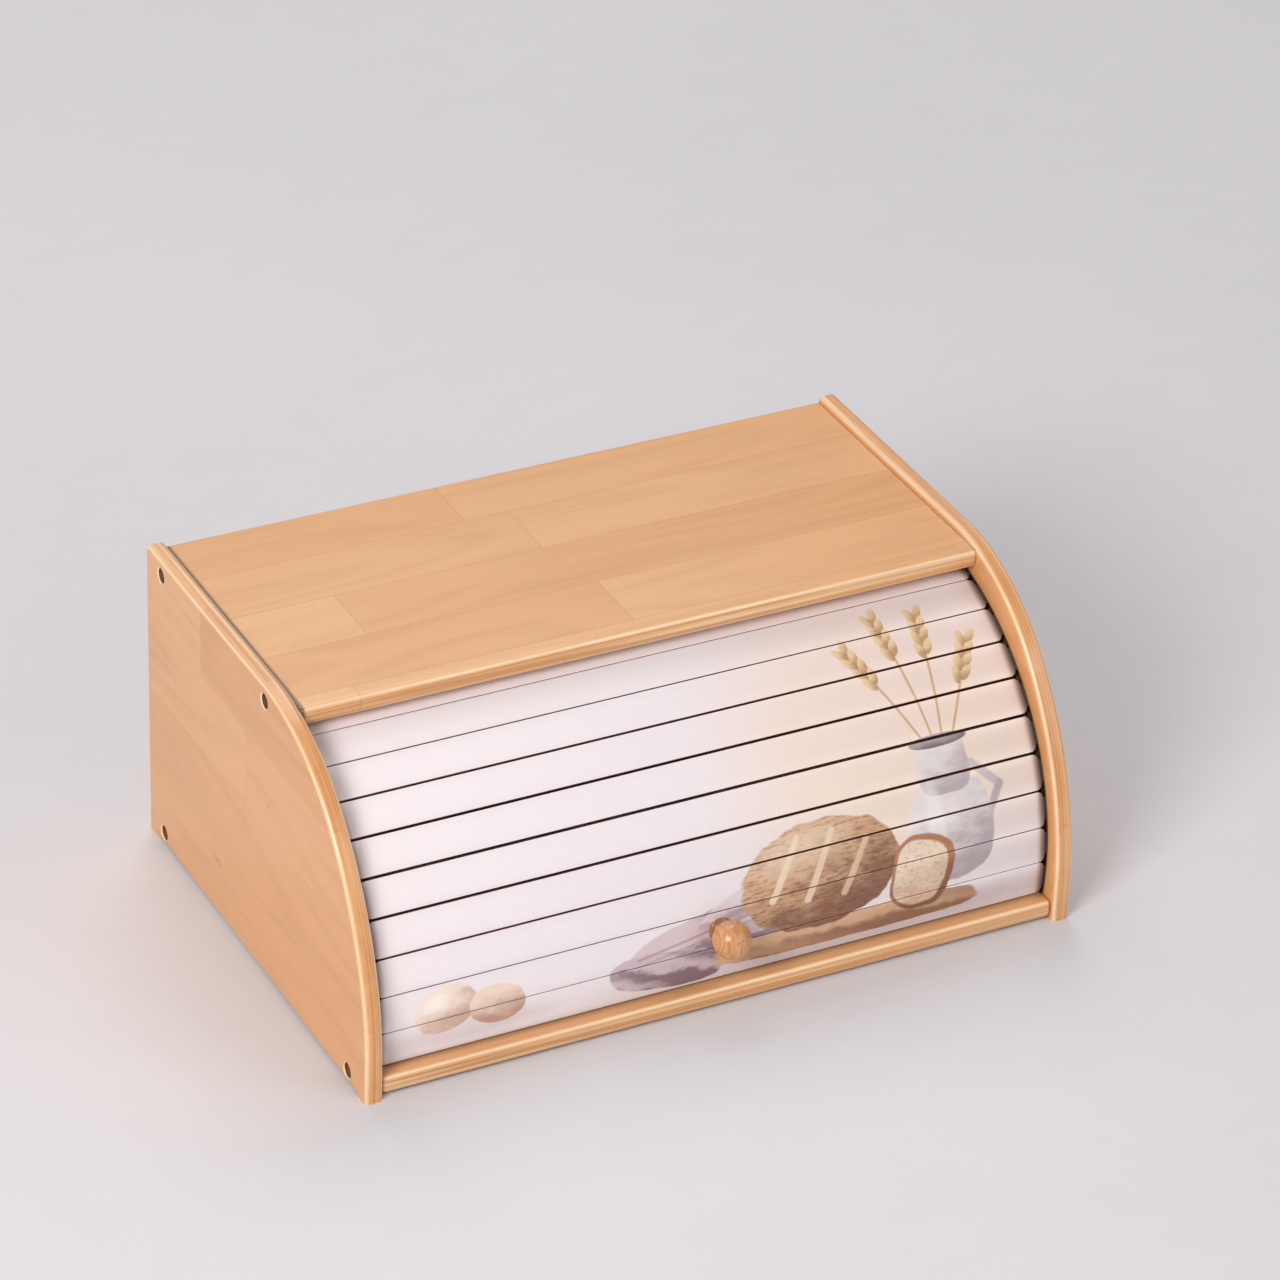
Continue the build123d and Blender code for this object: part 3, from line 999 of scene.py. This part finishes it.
@dataclass(frozen=True)
class KnobFinish:
    """Turned, oiled hardwood: grain along the knob's own axis, and a scorched ring at its waist.

    Attributes:
        name: The material's name.
        pale, warm, deep: Its colours.
        scorch: Heights where the scorched ring starts and where it is darkest, in millimetres.
        tool_marks: How close together the turning tool's marks are.
    """

    name: str
    pale: Colour = tint(216, 158, 104)
    warm: Colour = tint(186, 122, 70)
    deep: Colour = tint(112, 62, 32)
    scorch: Pair = (5.6, 2.6)
    tool_marks: float = 9.0

    def material(self, place: Matrix) -> bpy.types.Material:
        """Builds the finish.

        Args:
            place: The knob's place on the door.

        Returns:
            The knob's material.
        """
        material, wire, shader = new_material(self.name)
        inputs = {"Vector": object_place(wire), "Location": place.translation, "Scale": (MM,) * 3}
        inputs["Rotation"] = place.to_euler()
        local = wire.put("Mapping", inputs, vector_type="TEXTURE").outputs[0]
        bend = wire.noise(local, (0.12, 0.03, 0.05))
        x, _, z = wire.parts(local)
        rings = wire.math("MULTIPLY_ADD", bend, 9.0, wire.times(x, 0.34))
        rings = wire.ramp(wire.math("PINGPONG", rings, 0.5), 0.05, 0.5)
        fibre = wire.noise(local, (2.6, 0.16, 1.3), detail=3.0)
        tone = wire.times(rings, wire.spread(fibre, 0.35, 1.0))
        colour = wire.mix(tone, self.pale, self.warm)
        colour = wire.stain(colour, wire.ramp(fibre, 0.56, 0.72), 0.55, self.deep)
        colour = wire.stain(colour, wire.ramp(z, *self.scorch), 0.6, self.deep)
        turned = wire.math("SINE", wire.times(z, self.tool_marks))
        looks = {"Base Color": colour, "Roughness": wire.spread(fibre, 0.26, 0.42)}
        looks |= {"Coat Weight": 0.4, "Coat Roughness": 0.12}
        cover(wire, shader, looks, (wire.math("MULTIPLY_ADD", turned, 0.3, fibre), 0.07, 0.15))
        return material


@dataclass(frozen=True)
class PlywoodFinish:
    """Thin unvarnished plywood: a pale rotary-cut face, and its plies along the edges.

    Attributes:
        name: The material's name.
        pale, deep: The veneer's colours.
        glue: The dark line between two plies.
        sheet_front: Where the sheet's front face stands.
        ply: Thickness of one ply.
    """

    name: str
    pale: Colour = tint(234, 194, 148)
    deep: Colour = tint(194, 142, 96)
    glue: Colour = tint(112, 76, 50)
    sheet_front: float = 136.7 * MM
    ply: float = 1.0 * MM

    def material(self, effects: Effects) -> bpy.types.Material:
        """Builds the finish.

        Args:
            effects: The shared node groups.

        Returns:
            The back's material.
        """
        material, wire, shader = new_material(self.name)
        x, y, z = wire.parts(object_place(wire))
        place = wire.joined(x, z, y)
        inputs = {"Place": place, "Offset": (0.31, 0.12, 0.57), "Rings": 15.0}
        grain = wire.group(effects.grain, inputs)
        colour = wire.mix(wire.spread(grain["Figure"], 0.0, 0.42), self.pale, self.deep)
        colour = wire.mix(wire.spread(grain["Fibre"], 0.0, 0.3), colour, self.deep)
        plies = wire.math("DIVIDE", wire.math("SUBTRACT", y, self.sheet_front), self.ply)
        line = wire.ramp(wire.math("PINGPONG", plies, 0.5), 0.14, 0.06)
        normal = wire.put("TexCoord").outputs["Normal"]
        flat = wire.math("ABSOLUTE", wire.measure("DOT_PRODUCT", normal, (0.0, 1.0, 0.0)))
        edge = wire.ramp(flat, 0.7, 0.3)
        colour = wire.stain(colour, line, edge, self.glue)
        looks = {"Base Color": colour, "Roughness": wire.spread(grain["Fibre"], 0.55, 0.8)}
        cover(wire, shader, looks, (grain["Fibre"], 0.2, 0.2))
        return material


@dataclass(frozen=True)
class CanvasFinish:
    """Unbleached cotton canvas in a plain weave, stained with glue along the slats.

    Attributes:
        name: The material's name.
        size: Width and length of the cut cloth, in metres.
        thread, gap: The colour of a thread, and between two threads.
        blotted: Where glue has come through.
        pitch: From one thread to the next, in millimetres.
    """

    name: str
    size: Pair
    thread: Colour = tint(226, 214, 192)
    gap: Colour = tint(150, 132, 106)
    blotted: Colour = tint(188, 160, 118)
    pitch: float = 0.9

    def material(self, effects: Effects) -> bpy.types.Material:
        """Builds the finish on the cloth's own UV map.

        Args:
            effects: The shared node groups.

        Returns:
            The canvas's material.
        """
        material, wire, shader = new_material(self.name)
        size = (self.size[0] / MM, self.size[1] / MM, 1.0)
        place = wire.vector("MULTIPLY", wire.put("TexCoord").outputs["UV"], size)
        weave = wire.group(effects.weave, {"Place": place, "Pitch": self.pitch})
        colour = wire.mix(wire.ramp(weave["Tone"], 0.05, 0.6), self.gap, self.thread)
        blot = wire.noise(place, (0.03, 0.09, 1.0), detail=3.0)
        colour = wire.stain(colour, wire.ramp(blot, 0.5, 0.75), 0.5, self.blotted)
        looks = {"Base Color": colour, "Roughness": wire.spread(blot, 0.95, 0.7)}
        looks["Sheen Weight"] = 0.25
        cover(wire, shader, looks, (weave["Height"], 0.6, 0.3))
        return material


# ------------------------------------------------------------------------------ modelling
class Workpiece:
    """One object that is modelled with Blender's own tools, at the origin, place in its mesh.

    Args:
        name: The piece's name.
    """

    def __init__(self, name: str) -> None:
        """Takes over the primitive that was just added."""
        self.item = bpy.context.active_object
        self.item.name = name
        self.item.data.name = name
        bpy.ops.object.transform_apply(location=True, rotation=True, scale=True)

    @staticmethod
    def clear() -> None:
        """Deselects every object, so that an operator works on the new piece alone."""
        bpy.ops.object.select_all(action="DESELECT")

    @classmethod
    def block(cls, name: str, size: Triple, centre: Vector) -> "Workpiece":
        """A block to start from.

        Args:
            name: The piece's name.
            size: Its length, width and height.
            centre: Its middle.

        Returns:
            The block.
        """
        cls.clear()
        bpy.ops.mesh.primitive_cube_add(size=1.0, location=centre)
        bpy.context.active_object.scale = size
        return cls(name)

    @classmethod
    def ball(cls, name: str, radius: float, centre: Vector) -> "Workpiece":
        """A ball to start from, its poles up and down.

        Args:
            name: The piece's name.
            radius: Its radius.
            centre: Its middle.

        Returns:
            The ball.
        """
        cls.clear()
        bpy.ops.mesh.primitive_uv_sphere_add(
            segments=64, ring_count=40, radius=radius, location=centre
        )
        return cls(name)

    @classmethod
    def cloth(cls, name: str, cuts: tuple[int, int]) -> "Workpiece":
        """A flat grid one metre square, with its UV map.

        Args:
            name: The piece's name.
            cuts: Into how many faces it is cut, across and along.

        Returns:
            The grid.
        """
        cls.clear()
        bpy.ops.mesh.primitive_grid_add(x_subdivisions=cuts[0], y_subdivisions=cuts[1], size=1.0)
        return cls(name)

    @contextmanager
    def shaping(self) -> Iterator[None]:
        """Edit mode on this piece, with nothing selected."""
        self.clear()
        self.item.select_set(True)
        bpy.context.view_layer.objects.active = self.item
        bpy.ops.object.mode_set(mode="EDIT")
        bpy.ops.mesh.select_all(action="DESELECT")
        try:
            yield
        finally:
            bpy.ops.object.mode_set(mode="OBJECT")

    def pick_edges(self, wanted: Callable[[Vector, Vector], bool]) -> None:
        """Selects the edges whose two ends pass a test, and nothing else."""
        self.pick("EDGE", lambda mesh: [e for e in mesh.edges if wanted(*(v.co for v in e.verts))])

    def pick_verts(self, wanted: Callable[[Vector], bool]) -> None:
        """Selects the vertices whose place passes a test, and nothing else."""
        self.pick("VERT", lambda mesh: [v for v in mesh.verts if wanted(v.co)])

    def pick_faces(self, wanted: Callable[[bmesh.types.BMFace], bool]) -> None:
        """Selects the faces that pass a test, and nothing else."""
        self.pick("FACE", lambda mesh: [face for face in mesh.faces if wanted(face)])

    def pick(self, mode: str, found: Callable[[bmesh.types.BMesh], list]) -> None:
        """Selects what a search finds in the mesh being edited, and nothing else.

        Args:
            mode: What is picked: VERT, EDGE or FACE.
            found: Gives the parts of the mesh to select.
        """
        bpy.ops.mesh.select_mode(type=mode)
        bpy.ops.mesh.select_all(action="DESELECT")
        mesh = bmesh.from_edit_mesh(self.item.data)
        for part in found(mesh):
            part.select_set(True)
        mesh.select_flush_mode()
        bmesh.update_edit_mesh(self.item.data)

    def modify(self, kind: str, **settings: object) -> None:
        """Adds a modifier and applies it.

        Args:
            kind: The modifier's type.
            **settings: Its own properties.
        """
        self.clear()
        self.item.select_set(True)
        bpy.context.view_layer.objects.active = self.item
        modifier = self.item.modifiers.new(kind.title(), kind)
        for key, value in settings.items():
            setattr(modifier, key, value)
        bpy.ops.object.modifier_apply(modifier=modifier.name)

    def bored(self, radius: float, low: float, high: float) -> None:
        """Bores a round hole along the piece's z, centred on it.

        Args:
            radius: The hole's radius.
            low, high: From where to where the bit runs.
        """
        self.clear()
        middle = (0.0, 0.0, (low + high) / 2)
        bpy.ops.mesh.primitive_cylinder_add(
            vertices=32, radius=radius, depth=high - low, location=middle
        )
        cutter = bpy.context.active_object
        self.modify("BOOLEAN", object=cutter, operation="DIFFERENCE", solver="EXACT")
        bpy.data.objects.remove(cutter)

    def smooth(self, degrees: float = 35.0) -> None:
        """Smooth shading.

        Args:
            degrees: Edges sharper than this stay sharp.
        """
        self.clear()
        self.item.select_set(True)
        bpy.context.view_layer.objects.active = self.item
        bpy.ops.object.shade_smooth_by_angle(angle=math.radians(degrees))

    def copied(self, name: str, place: Matrix) -> bpy.types.Object:
        """A copy with its own mesh, and its place in that mesh.

        Args:
            name: The copy's name.
            place: The turn and the move that bring it to its place.

        Returns:
            The copy.
        """
        twin = self.item.copy()
        twin.data = self.item.data.copy()
        twin.name = name
        twin.data.name = name
        twin.data.transform(place)
        bpy.context.collection.objects.link(twin)
        return twin

    def discard(self) -> None:
        """Removes the pattern piece once its copies are made."""
        bpy.data.objects.remove(self.item)


def dress(item: bpy.types.Object, material: bpy.types.Material) -> None:
    """Puts one material all over.

    Args:
        item: A piece or a CAD node.
        material: Its finish.
    """
    if not item.material_slots:
        item.data.materials.append(material)
    for slot in item.material_slots:
        slot.material = material


def report(piece: bpy.types.Object, body: str) -> None:
    """Logs a finished piece with its triangles and the body that it rides on."""
    piece.data.calc_loop_triangles()
    log.info("%s: %d triangles, on %s", piece.name, len(piece.data.loop_triangles), body)


# ------------------------------------------------------------------------------ case
@dataclass
class Case:
    """The sides, boards, back and fastenings, which keep their CAD shapes.

    Attributes:
        nodes: The frame's nodes by name.
        effects: The shared node groups.
        circle: The circle that the door runs on.
        body: The body that all of it is part of.
        stave_width, top_stave_width: Widths of the staves that the boards are glued up from.
        inner_half: From the middle to a side's inner face.
        door_foot: Front of the lowest slat, where it stands on the bottom board.
        corner_left, corner_right: Where the top's painted shade line starts, in from a side's inner
            face.
        screw_places: The side screws, back from the middle and up from the table.
    """

    nodes: dict[str, bpy.types.Object]
    effects: Effects
    circle: DoorCircle
    body: str = "case"
    stave_width: float = 46 * MM
    top_stave_width: float = 41 * MM
    inner_half: float = 190 * MM
    door_foot: float = -118.6 * MM
    corner_left: float = 3.4 * MM
    corner_right: float = 1.3 * MM
    screw_places: tuple[Pair, ...] = (
        (-7.49 * MM, 163.5 * MM),
        (123.71 * MM, 163.5 * MM),
        (-108.29 * MM, 7 * MM),
        (123.71 * MM, 7 * MM),
    )

    def finishes(self) -> dict[str, WoodFinish]:
        """Each board's own wood.

        Returns:
            Node name to finish.
        """
        width = self.stave_width
        rows = {"bores": self.screw_places, "track": self.circle}
        calm = {"figure": 0.26, "seam": 0.28}
        calm |= {"pale": tint(239, 180, 122), "honey": tint(226, 159, 101)}
        knots = (Knot(0.052, 0.033, 7.0 * MM, 3.4 * MM), Knot(-0.012, 0.105, 3.0 * MM, 1.2 * MM))
        corners = (self.corner_left - self.inner_half, self.inner_half - self.corner_right)
        return {
            "side_panel_left": WoodFinish(
                "beech_side_left", GrainWay.SIDE, (0.62, width), 0.09, knots=knots, **rows, **calm
            ),
            "side_panel_right": WoodFinish(
                "beech_side_right", GrainWay.SIDE, (0.62, width), 3.2, **rows, **calm
            ),
            "top_panel": WoodFinish(
                "beech_top", GrainWay.SHELF, (0.34, self.top_stave_width), 5.46, joints=corners
            ),
            "bottom_panel": WoodFinish(
                "beech_bottom", GrainWay.SHELF, (0.55, width), 7.9, lip=self.door_foot
            ),
        }

    def build(self) -> None:
        """Dresses the boards, the back, the screws and the pins."""
        for name, finish in self.finishes().items():
            self.dressed(name, finish.material(self.effects))
        self.dressed("back_panel", PlywoodFinish("plywood").material(self.effects))
        blacked = MetalFinish("blacked_steel", tint(92, 80, 71), tint(48, 41, 37), 0.45, 0.4)
        steel = blacked.material()
        self.dressed("top_screws", steel)
        self.dressed("bottom_screws", steel)
        plated = MetalFinish("plated_pins", tint(196, 196, 200), tint(140, 140, 146), 0.3)
        self.dressed("back_pins", plated.material())

    def dressed(self, name: str, material: bpy.types.Material) -> None:
        """Puts a material on a CAD node and logs it."""
        dress(self.nodes[name], material)
        report(self.nodes[name], self.body)


# ------------------------------------------------------------------------------ door
@dataclass
class Door:
    """The roll-top door: slats, the canvas that joins them, and the knob.

    Attributes:
        nodes: The frame's nodes by name.
        effects: The shared node groups.
        circle: The circle that it runs on.
        body: The body that all of it is part of.
        slats, knob_slat: How many slats it has, and which of them the knob is on, from 0.
        slat_half, slat_width, slat_thickness: Half a slat's length between its tongues, its width
            and its thickness.
        corner, arris, back_arris: How its corners, its shown edges and its back ones are rounded.
        crown_rows: How far off its middle line a slat's face rises, and by how much more.
        closeness: How much nearer together the slats stand at each joint, from the bottom up.
        tongue_outer, tongue_inner, tongue_length: The levels of the tongue's two faces below the
            slat's face, and how far it stands out.
        canvas_half, canvas_thickness, canvas_gap: Half the canvas's width, its thickness, and the
            glue between it and the slats.
        joint: Gap between two slats.
        knob_*: Radii and heights of the knob's ball, waist and foot.
        screw_hole, screw_depth: Radius and depth of the hole for its screw.
    """

    nodes: dict[str, bpy.types.Object]
    effects: Effects
    circle: DoorCircle
    body: str = "roll_door"
    slats: int = 11
    knob_slat: int = 1
    slat_half: float = 188.7 * MM
    slat_width: float = 19.108 * MM
    slat_thickness: float = 6 * MM
    corner: float = 3.5 * MM
    arris: float = 0.6 * MM
    back_arris: float = 0.3 * MM
    crown_rows: tuple[Pair, ...] = (
        (7.2 * MM, 0.04 * MM),
        (5.0 * MM, 0.05 * MM),
        (2.2 * MM, 0.03 * MM),
    )
    closeness: tuple[float, ...] = tuple(
        share * MM for share in (0.0, 0.46, 0.4, 0.1, -0.1, -0.16, -0.12, 0.0, 0.3, 0.42, 0.44, 0.0)
    )
    tongue_outer: float = -1.4 * MM
    tongue_inner: float = -4.0 * MM
    tongue_length: float = 5.8 * MM
    canvas_half: float = 179.7 * MM
    canvas_thickness: float = 0.8 * MM
    canvas_gap: float = 0.05 * MM
    joint: float = 0.1 * MM
    knob_radius: float = 10 * MM
    knob_neck: float = 4.4 * MM
    knob_neck_height: float = 3.6 * MM
    knob_foot: float = 6.4 * MM
    knob_foot_height: float = 1.8 * MM
    screw_hole: float = 2.05 * MM
    screw_depth: float = 10 * MM

    def build(self) -> None:
        """Models and dresses the door."""
        self.build_slats()
        self.build_canvas()
        self.build_knob()
        plated = MetalFinish("plated_screw", tint(200, 200, 204), tint(150, 150, 156), 0.26)
        steel = plated.material()
        for name in ("knob_screw", "knob_washer"):
            dress(self.nodes[name], steel)
            report(self.nodes[name], self.body)

    def keep(
        self, piece: bpy.types.Object, node: str, material: bpy.types.Material
    ) -> None:
        """Hands a finished piece over in place of a CAD node.

        Args:
            piece: The piece.
            node: The node that it takes the place of.
            material: The finish.
        """
        dress(piece, material)
        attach(piece, self.body)
        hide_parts(node)
        report(piece, self.body)

    def shaped_slat(self) -> Workpiece:
        """Models a slat lying face up.

        Returns:
            The slat, with its shown face at z = 0 and its length along X.
        """
        size = (2 * self.slat_half, self.slat_width, self.slat_thickness)
        slat = Workpiece.block("slat_pattern", size, Vector((0.0, 0.0, -self.slat_thickness / 2)))
        tiny = 0.01 * MM
        with slat.shaping():
            slat.pick_edges(lambda a, b: abs(a.z - b.z) > tiny)
            bpy.ops.mesh.bevel(offset=self.corner, segments=8, affect="EDGES", clamp_overlap=False)
            slat.pick_edges(lambda a, b: a.z > -tiny and b.z > -tiny)
            bpy.ops.mesh.bevel(offset=self.arris, segments=4, affect="EDGES", clamp_overlap=False)
            for level in (self.tongue_outer, self.tongue_inner):
                bpy.ops.mesh.select_all(action="SELECT")
                bpy.ops.mesh.bisect(plane_co=(0.0, 0.0, level), plane_no=(0.0, 0.0, 1.0))
            for end in (-1, 1):
                slat.pick_faces(
                    lambda face: face.normal.x * end > 0.999
                    and self.tongue_inner < face.calc_center_median().z < self.tongue_outer
                )
                move = {"value": (end * self.tongue_length, 0.0, 0.0)}
                bpy.ops.mesh.extrude_region_move(TRANSFORM_OT_translate=move)
            for across, _ in self.crown_rows:
                for side in (-across, across):
                    bpy.ops.mesh.select_all(action="SELECT")
                    bpy.ops.mesh.bisect(plane_co=(0.0, side, 0.0), plane_no=(0.0, 1.0, 0.0))
            for across, lift in self.crown_rows:
                slat.pick_verts(lambda v: v.z > -tiny and abs(v.y) < across + tiny)
                bpy.ops.transform.translate(value=(0.0, 0.0, lift))
            tip, back = self.slat_half + self.tongue_length, -self.slat_thickness
            slat.pick_edges(
                lambda a, b: abs(a.x - b.x) < tiny and abs(a.x) > tip - tiny
                or abs(a.y - b.y) > tiny and max(a.z, b.z) < back + tiny
            )
            bpy.ops.mesh.bevel(offset=self.back_arris, segments=2, affect="EDGES")
        return slat

    def ease(self, slat: bpy.types.Object, below: float, above: float) -> None:
        """Brings a slat's shown edges nearer to its neighbours', more at the face than behind.

        Args:
            slat: The slat, lying face up.
            below, above: By how much, at its lower and at its upper edge.
        """
        for vertex in slat.data.vertices:
            x, y, z = vertex.co
            share = max(0.0, 1 + z / self.slat_thickness)
            if abs(x) < self.slat_half + 0.1 * MM and abs(y) > 0.4 * self.slat_width:
                vertex.co.y += share * (above if y > 0 else -below)

    def build_slats(self) -> None:
        """Copies one slat to its places up the door, the knob's slat bored for the screw."""
        printed = PrintedPicture("printed_slats", self.circle).material(self.effects)
        pattern = self.shaped_slat()
        pattern.smooth()
        bored = self.shaped_slat()
        bored.bored(self.screw_hole, -2 * self.slat_thickness, self.slat_thickness)
        bored.smooth()
        for number in range(self.slats):
            place = self.circle.place(self.circle.middle(number), self.circle.radius)
            source = bored if number == self.knob_slat else pattern
            name = f"slat_{number + 1:02d}"
            slat = source.copied(f"tambour_{name}", Matrix())
            self.ease(slat, self.closeness[number], self.closeness[number + 1])
            slat.data.transform(place)
            self.keep(slat, name, printed)
        pattern.discard()
        bored.discard()

    def build_canvas(self) -> None:
        """Stretches the canvas over the slats' backs, with a soft fold at each joint."""
        strips, facets = 48, 12
        fold_depth, fray, frays = 0.22 * MM, 0.25 * MM, 9.0
        step = self.slat_width + self.joint
        width, length = 2 * self.canvas_half, self.slats * step
        inner = self.circle.radius - self.slat_thickness
        cloth = Workpiece.cloth("canvas_backing", (strips, facets * self.slats))
        for vertex in cloth.item.data.vertices:
            across, up = vertex.co.x, (vertex.co.y + 0.5) * self.slats
            slat = min(int(up), self.slats - 1)
            off_middle = up - slat - 0.5
            ripple = math.sin(across * 61 + slat * 2.3) * math.sin(across * 23 + slat)
            sink = self.canvas_thickness / 2 + self.canvas_gap
            sink += fold_depth * abs(2 * off_middle) ** 6 * (1 + ripple)
            side = across * width + fray * math.sin(up * frays) * (2 * across) ** 15
            local = Vector((side, off_middle * step, -sink))
            vertex.co = self.circle.place(self.circle.middle(slat), inner) @ local
        bpy.context.view_layer.update()
        cloth.modify("SOLIDIFY", thickness=self.canvas_thickness, offset=0.0)
        cloth.smooth(50.0)
        finish = CanvasFinish("cotton_canvas", (width, length))
        self.keep(cloth.item, "backing_canvas", finish.material(self.effects))

    def build_knob(self) -> None:
        """Turns the knob: a ball drawn down to a waist and a short foot, bored for its screw."""
        rise = math.sqrt(self.knob_radius**2 - self.knob_neck**2)
        level, foot, chamfer = self.knob_neck_height, self.knob_foot, 0.35 * MM
        knob = Workpiece.ball("turned_knob", self.knob_radius, Vector((0.0, 0.0, level + rise)))
        steps = (
            (3.05 * MM, self.knob_neck + 0.05 * MM),
            (2.45 * MM, self.knob_neck + 0.45 * MM),
            (2.0 * MM, foot - 0.8 * MM),
            (self.knob_foot_height, foot - 0.25 * MM),
            (self.knob_foot_height - chamfer, foot),
            (chamfer, foot),
            (0.0, foot - chamfer),
        )
        with knob.shaping():
            bpy.ops.mesh.select_all(action="SELECT")
            bpy.ops.mesh.bisect(
                plane_co=(0.0, 0.0, level), plane_no=(0.0, 0.0, -1.0), clear_outer=True
            )
            here, wide = level, self.knob_neck
            for height, radius in steps:
                move = {"value": (0.0, 0.0, height - here)}
                bpy.ops.mesh.extrude_region_move(TRANSFORM_OT_translate=move)
                scale = radius / wide
                bpy.ops.transform.resize(
                    value=(scale, scale, 1.0), center_override=(0.0, 0.0, height)
                )
                here, wide = height, radius
            bpy.ops.mesh.edge_face_add()
            bpy.ops.mesh.select_all(action="SELECT")
            bpy.ops.mesh.normals_make_consistent(inside=False)
        knob.bored(self.screw_hole, -self.screw_depth / 10, self.screw_depth)
        knob.smooth(40.0)
        place = self.circle.place(self.circle.middle(self.knob_slat), self.circle.radius)
        knob.item.data.transform(place)
        self.keep(knob.item, "knob", KnobFinish("turned_wood").material(place))


# ------------------------------------------------------------------------------ studio
@dataclass(frozen=True)
class Lamp:
    """A square soft lamp: its place, the length of its edges, its power in watts, its colour."""

    name: str
    place: Triple
    size: float
    power: float
    colour: Colour


@dataclass
class Studio:
    """The floor, the lights and the camera.

    Attributes:
        azimuth, elevation, roll: Where the camera stands and how it is rolled, in degrees.
        distance: From the camera to its aim, in metres.
        aim: The point that it looks at.
        lens, sensor: Focal length and width of the sensor, in millimetres.
        floor_size, floor_deep, floor_pale: Length of the floor's edges, and its colours.
        lamps: A big soft key from the front left, a fill from the right and one from behind.
        lit_height: Height of the point that the lamps face.
        room, room_strength: Colour and strength of the pale room round them.
    """

    azimuth: float = -27.917
    elevation: float = 31.449
    roll: float = 2.149
    distance: float = 2.9154
    aim: Triple = (0.02141, 0.01871, 0.12943)
    lens: float = 159.746
    sensor: float = 36.0
    floor_size: float = 16.0
    floor_deep: Colour = tint(211, 209, 212)
    floor_pale: Colour = tint(226, 224, 226)
    lamps: tuple[Lamp, ...] = (
        Lamp("key", (-2.0, -1.35, 1.65), 1.1, 54.0, (1.0, 0.975, 0.95)),
        Lamp("fill", (1.3, -1.9, 1.4), 1.5, 13.0, (0.97, 0.975, 1.0)),
        Lamp("top", (0.3, 1.7, 2.4), 1.8, 30.0, (1.0, 0.985, 0.98)),
    )
    lit_height: float = 80 * MM
    room: Colour = (0.93, 0.91, 0.95)
    room_strength: float = 0.36

    def build(self) -> None:
        """Sets the stage."""
        self.place_camera()
        self.lay_floor()
        self.light()

    def place_camera(self) -> None:
        """Points the camera at the box."""
        side, rise = math.radians(self.azimuth), math.radians(self.elevation)
        level = math.cos(rise)
        back = Vector((math.sin(side) * level, -math.cos(side) * level, math.sin(rise)))
        right = (-back).cross(Vector((0.0, 0.0, 1.0))).normalized()
        up = right.cross(-back)
        roll = math.radians(self.roll)
        across = math.cos(roll) * right + math.sin(roll) * up
        above = math.cos(roll) * up - math.sin(roll) * right
        data = bpy.data.cameras.new("camera")
        data.lens = self.lens
        data.sensor_width = self.sensor
        camera = bpy.data.objects.new("camera", data)
        turn = Matrix((across, above, back)).transposed().to_4x4()
        camera.matrix_world = Matrix.Translation(Vector(self.aim) + back * self.distance) @ turn
        bpy.context.collection.objects.link(camera)
        bpy.context.scene.camera = camera

    def lay_floor(self) -> None:
        """A pale plaster-like floor."""
        Workpiece.clear()
        bpy.ops.mesh.primitive_plane_add(size=self.floor_size)
        floor = Workpiece("floor").item
        material, wire, shader = new_material("pale_floor")
        place = object_place(wire)
        broad = wire.noise(place, (2.2, 2.2, 2.2), detail=3.0)
        trowel = wire.noise(place, (26.0, 40.0, 1.0), detail=5.0, rough=0.6)
        tone = wire.math("MULTIPLY_ADD", trowel, 0.3, wire.times(broad, 0.7))
        colour = wire.mix(tone, self.floor_deep, self.floor_pale)
        looks = {"Base Color": colour, "Roughness": wire.spread(trowel, 0.6, 0.8)}
        cover(wire, shader, looks, (trowel, 0.05, 1.0))
        dress(floor, material)

    def light(self) -> None:
        """Hangs the lamps, and puts the room round them."""
        for lamp in self.lamps:
            light = bpy.data.lights.new(lamp.name, "AREA")
            light.size = lamp.size
            light.energy = lamp.power
            light.color = lamp.colour
            item = bpy.data.objects.new(lamp.name, light)
            place = Vector(lamp.place)
            away = place - Vector((0.0, 0.0, self.lit_height))
            turn = away.to_track_quat("Z", "Y").to_matrix().to_4x4()
            item.matrix_world = Matrix.Translation(place) @ turn
            bpy.context.collection.objects.link(item)
        world = bpy.data.worlds.new("room")
        world.use_nodes = True
        sky, wire = world.node_tree.nodes["Background"].inputs, Wiring(world.node_tree)
        wire.feed(sky["Color"], self.room)
        wire.feed(sky["Strength"], self.room_strength)
        bpy.context.scene.world = world
        bpy.context.scene.view_settings.view_transform = "Standard"
        bpy.context.scene.view_settings.look = "None"


def main() -> None:
    """Builds the box's looks round its frame."""
    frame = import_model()
    Studio().build()
    effects = Effects()
    circle = DoorCircle()
    Case(frame["nodes"], effects, circle).build()
    Door(frame["nodes"], effects, circle).build()


if __name__ == "__main__":
    logging.basicConfig(level=logging.INFO, format="%(message)s")
    main()
